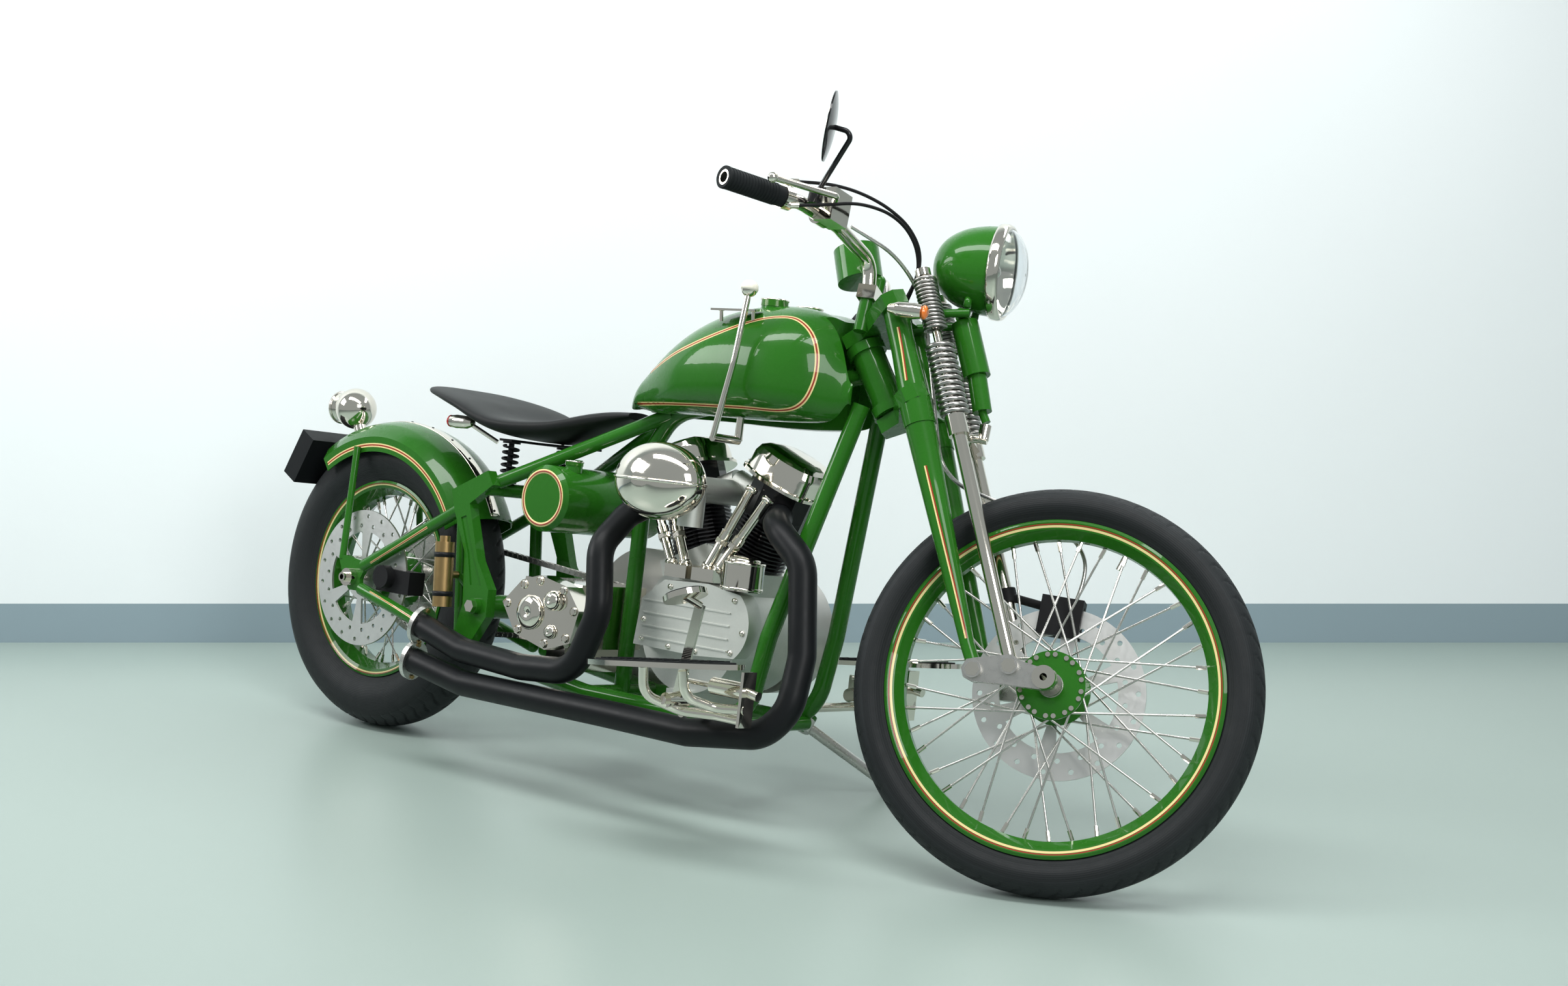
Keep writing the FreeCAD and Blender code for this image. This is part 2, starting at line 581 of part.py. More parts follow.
def make_frame():
    stem_low = on_fork(s.stem_low, 0)
    stem_high = on_fork(s.stem_high, 0)
    things = [rod(stem_low, stem_high, "Sizes.stem_radius"),
              rod(stem_low, on_fork(s.stem_low + s.cup_height, 0), "Sizes.cup_radius"),
              rod(on_fork(s.stem_high - s.cup_height, 0), stem_high, "Sizes.cup_radius")]
    run = (s.backbone_front_z - steer_foot.z) / steer_up.z
    neck = on_fork(run, 0)
    knee = Vector(s.backbone_rear_x, 0, s.backbone_rear_z)
    post_knee = Vector(s.post_x, 0, s.post_knee_z)
    post_foot = Vector(s.post_x, 0, s.cradle_z)
    things.append(tube([neck, knee, post_knee, post_foot], "Sizes.tube_radius", s.cradle_bend))
    for side in sides.values():
        top = Vector(s.down_top_x, s.down_top_y * side, s.down_top_z)
        knee_low = Vector(s.down_low_x, s.down_low_y * side, s.down_low_z)
        front = Vector(s.cradle_front_x, s.down_low_y * side, s.cradle_z)
        rear = Vector(s.cradle_rear_x, s.cradle_rear_y * side, s.cradle_rear_z)
        middle = Vector(s.post_x, s.down_low_y * side, s.cradle_z)
        things.append(tube([top, knee_low, front, middle, rear], "Sizes.tube_radius", s.cradle_bend))
        low = Vector(s.seat_rail_low_x, s.seat_rail_low_y * side, s.seat_rail_low_z)
        high = Vector(s.backbone_rear_x, s.seat_rail_top_y * side * 0.5, s.backbone_rear_z)
        things.append(rod(low, high, "Sizes.rail_radius"))
        things.append(casting(side))
        pivot = Vector(s.pivot_x, (s.casting_y + s.casting_width / 2) * side, s.pivot_z)
        things.append(rod(pivot - y_axis * side * s.lap, pivot + y_axis * side * s.tube_radius * 0.7,
                          "Sizes.tube_radius"))
    for x in (s.post_x, s.cradle_front_x - s.tube_radius):
        things.append(rod(Vector(x, -s.down_low_y, s.cradle_z), Vector(x, s.down_low_y, s.cradle_z),
                          "Sizes.rail_radius"))
    reach = s.casting_y
    bridge_x = s.seat_rail_low_x - s.tube_radius
    bridge_z = s.seat_rail_low_z - s.tube_radius
    things.append(rod(Vector(bridge_x, -reach, bridge_z), Vector(bridge_x, reach, bridge_z),
                      "Sizes.rail_radius"))
    things += stand_lug()
    joined = fused_in_turn(things, "frame_whole")
    gap = rod(on_fork(s.stem_low - s.lap, 0), on_fork(s.stem_high + s.lap, 0), "Sizes.backbone_radius")
    keep(cut(joined, gap, "frame_body"), "frame", standing)


def stand_lug():
    """The plate and web that carry the side stand's pivot on the left lower rail."""
    pivot, foot = spots("stand")
    hinge = spots("stand_axis")[0].normalize()
    inward = hinge.cross(x_axis).normalize() * -1
    if inward.y > 0:
        inward = inward * -1
    half = s.axle_radius * 1.3
    start = pivot + hinge * (half + s.seat_gap)
    seat = rod(start, start + hinge * s.tube_radius * 0.5, "Sizes.tube_radius")
    lift = start + hinge * s.strut_radius
    bend = lift + inward * s.tube_radius * 2.6
    web = rod(lift, bend, "Sizes.strut_radius")
    rail = Vector(pivot.x, s.down_low_y, s.cradle_z + s.tube_radius * 0.5)
    tie = rod(bend, rail, "Sizes.strut_radius")
    pin = rod(pivot - hinge * half, start + hinge * s.lap, "Sizes.axle_bore_radius")
    return [seat, web, tie, pin]


def casting(side):
    """The forged side piece between seat rail, cradle and swing-arm pivot."""
    x = s.pivot_x
    wide = s.tube_radius * 1.9
    top = s.casting_top_z
    low = s.casting_bottom_z
    knee_x = s.arm_top_x
    points = [(knee_x, top - wide * 1.55), (knee_x + wide * 3.3, top), (knee_x + wide * 3.9, top - wide * 0.9),
              (knee_x + wide * 1.9, top - wide * 2.3), (x - wide * 0.35, s.pivot_z + wide * 3),
              (x + wide, s.pivot_z + wide * 1.2), (x + wide * 1.05, s.pivot_z - wide * 0.6),
              (x - wide * 0.5, low + wide * 0.6), (x - wide, low),
              (x - wide * 2.2, low + wide * 0.2), (x - wide * 1.3, s.pivot_z),
              (x - wide * 1.7, s.pivot_z + wide * 3.4), (knee_x + wide * 0.5, top - wide * 2.9)]
    body = side_plate(points, "Sizes.casting_width", s.casting_y * side)
    hollow = [(x - wide * 0.8, s.pivot_z + wide * 1.3), (x + wide * 0.25, s.pivot_z + wide * 1.4),
              (x - wide * 0.7, s.pivot_z + wide * 3.1), (knee_x + wide * 1.7, top - wide * 3.1),
              (knee_x + wide * 1.2, top - wide * 3.3), (x - wide * 1.35, s.pivot_z + wide * 3.3)]
    face = s.casting_y + s.casting_width / 2
    pocket = side_plate(hollow, "Sizes.rim_wall", face * side)
    return cut(body, pocket)


def make_swingarm():
    things = []
    for side in sides.values():
        y = s.arm_y * side
        hub_x = rear_axle.x
        hub_z = rear_axle.z
        wide = s.plate_radius
        foot = Vector(s.strut_foot_x, y, s.strut_foot_z)
        points = [(hub_x - wide * 1.7, hub_z + wide * 1.35), (hub_x - wide * 0.9, hub_z + wide * 1.5),
                  (hub_x + wide * 1.6, hub_z + wide * 1.2), (hub_x + wide * 0.9, hub_z),
                  (hub_x + wide * 1.1, hub_z - wide * 0.9), (hub_x - wide * 0.2, hub_z - wide * 0.9),
                  (hub_x - wide * 0.9, hub_z - wide * 0.2)]
        things.append(side_plate(points, "Sizes.plate_thickness", y))
        front_y = s.arm_front_y * side
        top = Vector(s.arm_top_x, front_y, s.arm_top_z)
        low = Vector(s.arm_low_x, front_y, s.arm_low_z)
        things.append(rod(Vector(hub_x + wide * 1.05, y, hub_z + wide * 0.95), top, "Sizes.arm_radius"))
        things.append(rod(Vector(hub_x + wide * 0.98, y, hub_z - wide * 0.72), low, "Sizes.arm_radius"))
        things.append(rod(top, low, "Sizes.arm_radius"))
        things.append(ball(top, "Sizes.arm_radius"))
        things.append(ball(low, "Sizes.arm_radius"))
        lug_end = Vector(s.pivot_x, front_y, s.pivot_z)
        middle = (top + low) * 0.5
        things.append(rod(middle, lug_end, "Sizes.arm_radius"))
        head = Vector(s.strut_top_x, (s.fender_half_width + s.strut_radius + s.seat_gap) * side, s.strut_top_z)
        things.append(rod(head, foot, "Sizes.strut_radius"))
    width = s.casting_y - s.casting_width / 2 - s.seat_gap
    things.append(rod(Vector(s.pivot_x, -width, s.pivot_z), Vector(s.pivot_x, width, s.pivot_z),
                      "Sizes.plate_radius * 0.8"))
    joined = fused(things)
    reach = s.casting_y
    gap = rod(rear_axle - y_axis * reach, rear_axle + y_axis * reach, "Sizes.axle_radius + Sizes.run_gap")
    keep(cut(joined, gap, "swingarm_body"), "swingarm", standing)


def make_axles():
    level = Rotation(x_axis, -90)
    inner = s.arm_y + s.plate_thickness / 2 + s.seat_gap
    rows = [("rear_axle", rear_axle, s.axle_end_y, inner, standing)]
    outer = s.rocker_y + s.rocker_thickness / 2 + s.seat_gap
    rows.append(("front_axle", front_axle, s.front_axle_end_y, outer, steered))
    for name, centre, half, seat, pose in rows:
        bore = s.axle_bore_radius
        shaft = s.axle_radius
        nut = s.nut_radius
        tip = min(half, seat + nut * 0.8)
        points = [(bore, -half), (shaft, -half), (shaft, -tip), (nut, -tip), (nut, -seat), (shaft, -seat),
                  (shaft, seat), (nut, seat), (nut, tip), (shaft, tip), (shaft, half), (bore, half)]
        if half == tip:
            points = [(bore, -half), (nut, -half), (nut, -seat), (shaft, -seat), (shaft, seat),
                      (nut, seat), (nut, half), (bore, half)]
        body = turned(points, name + "_body")
        body.Placement = Placement(centre, level)
        keep(body, name, pose)


# Rear fender, lamp and plate box


def fender_point(degrees, radius):
    angle = math.radians(degrees)
    return rear_axle + Vector(-math.sin(angle), 0, math.cos(angle)) * radius


def make_rear_end():
    crown = s.fender_crown_radius
    skirt = s.fender_skirt_radius
    half = s.fender_half_width
    wall = s.fender_wall
    knee = skirt + (crown - skirt) * 0.45
    points = [(skirt, -half), (knee, -half), (crown - half * 0.16, -half * 0.72), (crown, 0, "arc"),
              (crown - half * 0.16, half * 0.72), (knee, half), (skirt, half), (skirt, half - wall),
              (knee, half - wall), (crown - half * 0.16 - wall, half * 0.7),
              (crown - wall, 0, "arc"), (crown - half * 0.16 - wall, -half * 0.7), (knee, -half + wall),
              (skirt, -half + wall)]
    body = turned(points, "rear_fender_body", s.fender_rear_deg + s.fender_front_deg)
    # local Z becomes the axle line; the sweep runs from the front edge over the top to the rear tip
    turn = Rotation(x_axis, 90).multiply(Rotation(z_axis, 90 - s.fender_front_deg))
    body.Placement = Placement(rear_axle, turn)
    keep(body, "rear_fender", standing)

    centre = Vector(s.lamp_x, 0, s.lamp_z)
    globe = ball(centre, "Sizes.lamp_radius")
    foot_deg = s.fender_rear_deg - wall * 3
    foot = fender_point(foot_deg, crown + s.seat_gap)
    knee_point = fender_point(foot_deg, crown + s.lamp_radius * 0.4)
    lug = rod(foot, knee_point, "Sizes.lamp_radius * 0.3")
    stalk = rod(knee_point, centre, "Sizes.lamp_radius * 0.3")
    lens = rod(centre, centre - x_axis * s.lamp_radius * 1.08, "Sizes.lamp_radius * 0.78")
    keep(fused([globe, lug, stalk, lens], "tail_lamp_body"), "tail_lamp", standing)

    depth = s.plate_box_depth
    wide = s.plate_box_width / 2
    high = s.plate_box_height / 2
    tray = block(Vector(-depth / 2, -wide, -high), Vector(depth / 2, wide, high))
    room = block(Vector(-depth / 2 - wall, -wide + wall, -high + wall),
                 Vector(depth / 2 - wall * 2, wide - wall, high - wall))
    box = cut(tray, room)
    box.Placement = Placement(Vector(s.plate_box_x, 0, s.plate_box_z), Rotation(y_axis, s.plate_box_tilt_deg))
    pad_deg = s.fender_rear_deg - wall * 2
    pad = rod(fender_point(pad_deg, crown - wall * 6), fender_point(pad_deg, crown - wall - s.seat_gap * 2),
              "Sizes.strut_radius")
    arm_start = Vector(s.plate_box_x + depth * 0.2, 0, s.plate_box_z - s.strut_radius)
    arm = rod(arm_start, fender_point(pad_deg, crown - wall * 5), "Sizes.strut_radius * 0.7")
    keep(fused([box, arm, pad], "plate_box_body"), "plate_box", standing)


# Saddle and its springs


def oval_wire(centre, half_width, half_height, side=y_axis, up=z_axis, power=2.5, count=12):
    """A closed smooth section with flattened sides."""
    points = []
    for index in range(count):
        angle = 2 * math.pi * index / count
        across = math.copysign(abs(math.cos(angle)) ** (2 / power), math.cos(angle))
        along = math.copysign(abs(math.sin(angle)) ** (2 / power), math.sin(angle))
        points.append(centre + side * (half_width * across) + up * (half_height * along))
    curve = Part.BSplineCurve()
    curve.interpolate(points, PeriodicFlag=True)
    return Part.Wire([curve.toShape()])


def make_saddle():
    wide = s.saddle_half_width
    nose = s.saddle_nose_half_width
    rear = s.saddle_rear_z
    low = s.saddle_low_z
    front = s.saddle_nose_z
    thick = s.saddle_thickness / 2
    # share of the length, share of the half width, middle height, share of the half thickness
    stations = [(0.0, 0.35, rear, 0.30), (0.10, 0.80, rear - thick * 0.3, 0.62),
                (0.30, 1.0, low + thick * 1.6, 0.85), (0.50, 0.95, low + thick * 0.1, 1.0),
                (0.68, 0.66, low + thick * 0.2, 0.95),
                (0.86, nose / wide * 1.05, front - thick * 0.6, 0.7), (1.0, nose / wide * 0.6, front, 0.32)]
    wires = []
    for along, across, height, share in stations:
        centre = Vector(s.saddle_rear_x + s.saddle_length * along, 0, height)
        wires.append(oval_wire(centre, wide * across, thick * share))
    keep(loft(wires, "saddle_body"), "saddle", standing)


def rail_place(x):
    """The seat rail's middle at a given X."""
    share = (x - s.seat_rail_low_x) / (s.backbone_rear_x - s.seat_rail_low_x)
    y = s.seat_rail_low_y + (s.seat_rail_top_y * 0.5 - s.seat_rail_low_y) * share
    z = s.seat_rail_low_z + (s.backbone_rear_z - s.seat_rail_low_z) * share
    return y, z


def make_saddle_mount():
    things = []
    wire = s.spring_wire
    pan_top = s.saddle_low_z - s.saddle_thickness / 2 - s.seat_gap - wire * 0.6
    pan_low = pan_top - s.fender_wall * 1.6
    bridge_x = s.seat_rail_low_x - s.tube_radius
    bridge_top = s.seat_rail_low_z - s.tube_radius + s.rail_radius + s.seat_gap
    for side in sides.values():
        base = Vector(bridge_x, s.spring_y * side, bridge_top)
        head = Vector(bridge_x, s.spring_y * side, pan_low + s.lap)
        things.append(rod(base, head, "Sizes.spring_wire * 1.8"))
        things.append(rod(base, base + z_axis * wire * 1.5, "Sizes.spring_radius"))
        things.append(rod(head - z_axis * wire * 1.5, head, "Sizes.spring_radius"))
    half = s.spring_y + s.spring_radius
    spine = s.spring_radius * 1.2
    things.append(block(Vector(bridge_x - s.spring_radius, -half, pan_low),
                        Vector(bridge_x + s.spring_radius, half, pan_top)))
    things.append(block(Vector(bridge_x, -spine, pan_low), Vector(s.front_spring_x + spine, spine, pan_top)))
    keep(fused(things, "saddle_mount_body"), "saddle_mount", standing)


# Fuel tank with a tunnel over the backbone, and the oil tank


def make_tanks():
    rear = s.tank_rear_x
    length = s.tank_front_x - rear
    low = s.tank_bottom_z
    tall = s.tank_top_z - low
    wide = s.tank_half_width
    # shares of length, half width, bottom height and top height
    stations = [(0.0, 0.20, 0.0, 0.09), (0.12, 0.55, 0.0, 0.40), (0.30, 0.86, 0.0, 0.75),
                (0.52, 0.98, 0.0, 0.97), (0.68, 1.0, 0.0, 1.0), (0.83, 0.86, 0.02, 0.92),
                (0.91, 0.54, 0.06, 0.70), (0.955, 0.45, 0.14, 0.46)]
    wires = []
    for along, across, bottom, top in stations:
        x = rear + length * along
        wires.append(tank_section(x, wide * across, low + tall * bottom, low + tall * top))
    shell = loft(wires)
    run = (s.backbone_front_z - steer_foot.z) / steer_up.z
    neck = on_fork(run, 0)
    gap = s.tunnel_half_width
    roof = s.tube_radius * 1.03 + s.seat_gap
    points = [(rear - gap, low - gap), (s.tank_front_x + gap, low - gap),
              (s.tank_front_x + gap, neck.z + roof), (neck.x, neck.z + roof),
              (s.backbone_rear_x, s.backbone_rear_z + roof), (rear - gap, s.backbone_rear_z + roof)]
    tunnel = side_plate(points, gap * 2, 0)
    mouth_half = s.down_top_y + s.tube_radius * 1.9
    mouth = block(Vector(neck.x - s.tube_radius * 4.8, -mouth_half, low - gap),
                  Vector(s.tank_front_x + gap, mouth_half, s.tank_top_z + gap))
    hollow = cut(cut(shell, tunnel), mouth)
    caps = []
    for side in sides.values():
        base = Vector(s.cap_x, s.cap_y * side, s.tank_top_z - s.cap_height)
        caps.append(rod(base, base + z_axis * s.cap_height * 1.9, "Sizes.cap_radius"))
    keep(fused([hollow] + caps, "fuel_tank_body"), "fuel_tank", standing)

    centre = Vector(s.oil_tank_x, 0, s.oil_tank_z)
    half = s.oil_tank_half_length
    radius = s.oil_tank_radius
    edge = radius * 0.12
    barrel = turned([(0, -half), (radius - edge, -half), (radius, -half + edge), (radius, half - edge),
                     (radius - edge, half), (0, half)])
    barrel.Placement = Placement(centre, Rotation(x_axis, -90))
    cap_base = centre + Vector(radius * 0.3, -half * 0.62, radius * 0.85)
    cap = rod(cap_base, cap_base + z_axis * radius * 0.3, "Sizes.cap_radius * 0.7")
    things = [barrel, cap]
    rail_y, rail_z = rail_place(centre.x)
    drop = s.rail_radius * 1.13 + s.strut_radius * 0.5 + s.seat_gap
    for side in sides.values():
        things.append(rod(Vector(centre.x, rail_y * side, centre.z + radius * 0.9),
                          Vector(centre.x, rail_y * side, rail_z - drop), "Sizes.strut_radius"))
    keep(fused(things, "oil_tank_body"), "oil_tank", standing)


def tank_section(x, half, low, top):
    """Flat bottom, full sides and a rounded top."""
    tall = top - low
    shares = [(0, 0), (0.62, 0.0), (0.9, 0.12), (1.0, 0.4), (0.93, 0.68), (0.68, 0.9), (0.34, 1.0), (0, 0.985)]
    right = [Vector(x, half * across, low + tall * up) for across, up in shares]
    left = [Vector(x, -half * across, low + tall * up) for across, up in shares[1:-1]]
    curve = Part.BSplineCurve()
    curve.interpolate(right + left[::-1], PeriodicFlag=True)
    return Part.Wire([curve.toShape()])


# Engine


def bank_point(lean, out, across=0, side=0):
    """A point measured along a cylinder that leans forward (1) or back (-1)."""
    angle = math.radians(s.bank_deg) * lean
    up = Vector(math.sin(angle), 0, math.cos(angle))
    ahead = Vector(math.cos(angle), 0, -math.sin(angle))
    return Vector(s.crank_x, 0, s.crank_z) + up * out + ahead * across + y_axis * side


def bank_place(lean, out):
    return Placement(bank_point(lean, out), Rotation(y_axis, s.bank_deg * lean))


def make_engine():
    half = s.case_half_width
    radius = s.case_radius
    crank = Vector(s.crank_x, 0, s.crank_z)
    case = rod(crank - y_axis * half, crank + y_axis * half, "Sizes.case_radius")
    decks = []
    for lean in (-1, 1):
        deck = doc.addObject("Part::Box", unique("deck"))
        deck.Length = s.barrel_radius * 1.9
        deck.Width = half * 1.5
        deck.Height = s.barrel_base - radius * 0.5
        base = bank_place(lean, radius * 0.5)
        deck.Placement = base.multiply(Placement(Vector(-s.barrel_radius * 0.95, -half * 0.75, 0), Rotation()))
        decks.append(deck)
    rest = s.cradle_z + s.tube_radius + s.seat_gap
    pad = block(Vector(crank.x - s.pipe_radius, -s.down_low_y - s.strut_radius, rest),
                Vector(crank.x + s.pipe_radius, s.down_low_y + s.strut_radius, rest + s.pipe_radius))
    boss = rod(crank + y_axis * (half - s.lap), crank + y_axis * (s.primary_y - s.seat_gap),
               "Sizes.case_radius * 0.5")
    keep(fused([case, pad, boss] + decks, "crankcase_body"), "crankcase", standing)

    barrels = []
    covers = []
    for lean in (-1, 1):
        things = [rod(bank_point(lean, s.barrel_base + s.seat_gap), bank_point(lean, s.head_top),
                      "Sizes.bore_radius")]
        count = int(s.fin_count)
        pitch_out = (s.barrel_top - s.barrel_base) / count
        for index in range(count):
            out = s.barrel_base + pitch_out * (index + 0.6)
            fin = doc.addObject("Part::Prism", unique("fin"))
            fin.Polygon = 12
            bind(fin, Circumradius="Sizes.barrel_radius", Height="Sizes.fin_thickness")
            fin.Placement = bank_place(lean, out)
            things.append(fin)
        head = doc.addObject("Part::Prism", unique("head"))
        head.Polygon = 12
        bind(head, Circumradius="Sizes.head_radius", Height="Sizes.head_top - Sizes.barrel_top")
        head.Placement = bank_place(lean, s.barrel_top)
        things.append(head)
        barrels.append(fused(things))
        covers.append(rocker_cover(lean))
    keep(group(barrels, "cylinders_body"), "cylinders", standing)
    keep(group(covers, "rocker_covers_body"), "rocker_covers", standing)

    keep(cam_cover(), "cam_cover", standing)
    keep(pushrods(), "pushrod_tubes", standing)
    keep(air_cleaner(), "air_cleaner", standing)
    keep(carburettor(), "carburettor", standing)


def rocker_cover(lean):
    """A pan-shaped cover with a flat screwed rim, upright sides and a rounded top."""
    long = s.cover_half_length
    wide = s.cover_half_width
    high = s.cover_height
    shares = [(0.0, 1.0), (0.1, 1.0), (0.13, 0.93), (0.6, 0.9), (0.82, 0.83), (0.94, 0.7), (1.0, 0.52)]
    wires = []
    for up, share in shares:
        wires.append(oval_wire(Vector(0, 0, high * up), long * share, wide * share, x_axis, y_axis, 3.0, 10))
    cover = loft(wires)
    cover.Ruled = True
    cover.Placement = bank_place(lean, s.head_top + s.seat_gap)
    return cover


def cam_cover():
    """The long timing cover on the right with a raised ribbed face."""
    x = s.crank_x
    z = s.crank_z
    r = s.case_radius
    points = [(x - r * 0.86, z - r * 0.35), (x - r * 0.78, z + r * 0.38), (x - r * 0.35, z + r * 0.72),
              (x + r * 0.55, z + r * 0.76), (x + r * 1.2, z + r * 0.66), (x + r * 1.42, z + r * 0.1, "arc"),
              (x + r * 1.2, z - r * 0.3), (x + r * 0.4, z - r * 0.36)]
    base = -s.case_half_width - s.seat_gap
    deep = s.cam_cover_y - s.case_half_width
    body = side_plate(points, deep, base - deep / 2)
    ribs = []
    for share in (0.36, 0.16, -0.04, -0.22):
        low = Vector(x - r * 0.72, -s.cam_cover_y - s.fin_thickness, z + r * share)
        high = Vector(x + r * 1.05, -s.cam_cover_y + s.lap, z + r * share + s.fin_thickness)
        ribs.append(block(low, high))
    return fused([body] + ribs, "cam_cover_body")


def pushrods():
    """Four telescopic covers rising from the tappet blocks, and the round timer."""
    groups = []
    radius = s.pushrod_radius
    y_low = -s.case_half_width - radius * 2.2
    base_z = s.crank_z + s.case_radius * 0.78 + s.seat_gap
    top_y = -s.cover_half_width * 1.02 - radius
    # share of the case radius at the foot, share of the cover half length at the top
    rows = {-1: ((-0.30, -0.44), (-0.02, 0.08)), 1: ((0.29, -0.08), (0.50, 0.44))}
    for lean, pair in rows.items():
        things = []
        for foot_share, top_share in pair:
            low = Vector(s.crank_x + s.case_radius * foot_share, y_low, base_z + radius)
            high = bank_point(lean, s.head_top, s.cover_half_length * top_share, top_y)
            along = (high - low).normalize()
            high = high - along * radius * 1.5
            things.append(rod(low, high, "Sizes.pushrod_radius"))
            middle = low + (high - low) * 0.42
            things.append(rod(middle, middle + along * radius * 1.6, "Sizes.pushrod_radius * 1.25"))
        mean = s.crank_x + s.case_radius * (pair[0][0] + pair[1][0]) / 2
        half = s.case_radius * 0.22
        things.append(block(Vector(mean - half, y_low - radius * 1.8, base_z),
                            Vector(mean + half, -s.case_half_width - s.seat_gap, base_z + radius * 2.6)))
        groups.append(fused(things))
    cup = Vector(s.crank_x + s.case_radius * 1.12, y_low - s.timer_radius * 0.12,
                 s.crank_z + s.case_radius * 0.723 + s.seat_gap)
    groups.append(rod(cup, cup + z_axis * s.timer_height, "Sizes.timer_radius"))
    return group(groups, "pushrod_tubes_body")


def air_cleaner():
    """A long round-nosed shell with a raised belt along its middle."""
    centre = Vector(s.cleaner_x, -s.cleaner_y, s.cleaner_z)
    long = s.cleaner_half_length
    high = s.cleaner_half_height
    deep = s.cleaner_half_depth
    rows = [(-0.5, 0.62), (-0.42, 0.92), (0.0, 1.0), (0.45, 0.9), (0.8, 0.6), (0.98, 0.2)]
    wires = []
    for out, share in rows:
        at = centre - y_axis * deep * out
        wires.append(oval_wire(at, long * share, high * share, x_axis, z_axis, 2.0, 12))
    shell = loft(wires)
    return fused([shell], "air_cleaner_body")


def carburettor():
    """Carburettor body and the short manifold between the heads."""
    y = s.cleaner_y - s.cleaner_half_depth * 0.5 - s.seat_gap * 2
    height = s.cleaner_z - s.cleaner_half_height * 0.1
    outer = Vector(s.crank_x, -y, height)
    inner = Vector(s.crank_x, 0, height)
    barrel = rod(outer, inner, "Sizes.cap_radius")
    bowl_top = Vector(s.crank_x, -(y + s.cover_half_width) / 2, height)
    bowl = rod(bowl_top, bowl_top - z_axis * s.cleaner_half_height, "Sizes.cap_radius")
    things = [barrel, bowl]
    port = s.barrel_top + s.cap_radius
    for lean in (-1, 1):
        reach = -lean * (s.head_radius + s.seat_gap)
        start = bank_point(lean, port, -lean * port * math.tan(math.radians(s.bank_deg)))
        things.append(rod(start, bank_point(lean, port, reach), "Sizes.cap_radius * 0.8"))
    return fused(things, "carburettor_body")


def make_driveline():
    x = s.gearbox_x
    z = s.gearbox_z
    long = s.gearbox_length / 2
    high = s.gearbox_height / 2
    half = s.gearbox_half_width
    inner = s.chain_y - s.chain_width * 1.4
    case = block(Vector(x - long * 0.86, -half, z - high * 0.9), Vector(x + long * 0.6, inner, z + high * 0.86))
    reach = s.primary_y - s.seat_gap
    shaft = rod(Vector(x, inner - s.lap, z), Vector(x, reach, z), "Sizes.axle_radius")
    wheel_y = s.chain_y - s.sprocket_thickness / 2
    wheel = rod(Vector(x, wheel_y, z), Vector(x, wheel_y + s.sprocket_thickness, z), "Sizes.front_sprocket_radius")
    points = [(x - long, z + high * 0.1), (x - long * 0.55, z + high * 0.8), (x - long * 0.1, z + high),
              (x + long * 0.6, z + high * 0.8), (x + long * 0.95, z + high * 0.2),
              (x + long * 0.8, z - high * 0.7), (x + long * 0.2, z - high), (x - long * 0.6, z - high * 0.7)]
    cover = side_plate(points, s.pipe_radius * 1.6, -half - s.pipe_radius * 0.8)
    slope = (s.cradle_rear_z - s.cradle_z) / (s.post_x - s.cradle_rear_x)
    rail_top = s.cradle_z + slope * (s.post_x - x + s.pipe_radius) + s.tube_radius * math.sqrt(1 + slope ** 2)
    rest = rail_top + s.seat_gap
    foot = block(Vector(x - s.pipe_radius, -s.down_low_y - s.strut_radius, rest),
                 Vector(x + s.pipe_radius, inner - s.strut_radius, z - high * 0.8))
    keep(fused([case, cover, shaft, wheel, foot], "gearbox_body"), "gearbox", standing)

    y = s.primary_y
    deep = s.primary_depth
    front = s.crank_x
    r1 = s.case_radius * 1.02
    r2 = s.case_radius * 1.16
    points = [(front, s.crank_z + r1), (front + r1, s.crank_z, "arc"), (front, s.crank_z - r1),
              (x, z - r2), (x - r2, z, "arc"), (x, z + r2)]
    keep(side_plate(points, "Sizes.primary_depth", y + deep / 2, "primary_cover_body"), "primary_cover", standing)


# Exhaust pipes


def make_exhaust():
    r = s.pipe_radius
    pipes = []
    for route in (spots("rear_pipe"), spots("front_pipe")):
        body = tube(route, "Sizes.pipe_radius", r * 3)
        last = route[-1]
        along = (last - route[-2]).normalize()
        mouth = rod(last - along * r * 1.2, last + along * r, "Sizes.pipe_radius - Sizes.fender_wall")
        half_shares = [(-1.2, 0.6), (0, 1.2, "arc"), (1.2, 0.6), (1.55, 0, "arc"), (1.2, -0.6),
                       (0, -1.2, "arc"), (-1.2, -0.6), (-1.55, 0, "arc")]
        points = [(across * r, high * r) + tuple(rest) for across, high, *rest in half_shares]
        flange = put(plate(points, r * 0.4), last - along * r * 0.4, along)
        pipes.append(cut(fused([body, flange]), mouth))
    keep(group(pipes, "exhaust_pipes_body"), "exhaust_pipes", standing)


def chain_outline(gap, rear_radius, front_radius):
    """The loop round both sprockets at a distance from their rims, as points of a plate outline."""
    rear = rear_axle
    front = Vector(s.gearbox_x, 0, s.gearbox_z)
    span = (front - rear).Length
    tilt = math.atan2(front.z - rear.z, front.x - rear.x)
    open_angle = math.acos((rear_radius - front_radius) / span)
    points = []
    for centre, radius, start, middle in ((rear, rear_radius + gap, open_angle, math.pi),
                                          (front, front_radius + gap, -open_angle, 0.0)):
        for angle in (start, middle, -start):
            turn_to = angle + tilt
            spot = (centre.x + radius * math.cos(turn_to), centre.z + radius * math.sin(turn_to))
            points.append(spot + ("arc",) if angle == middle else spot)
    return points


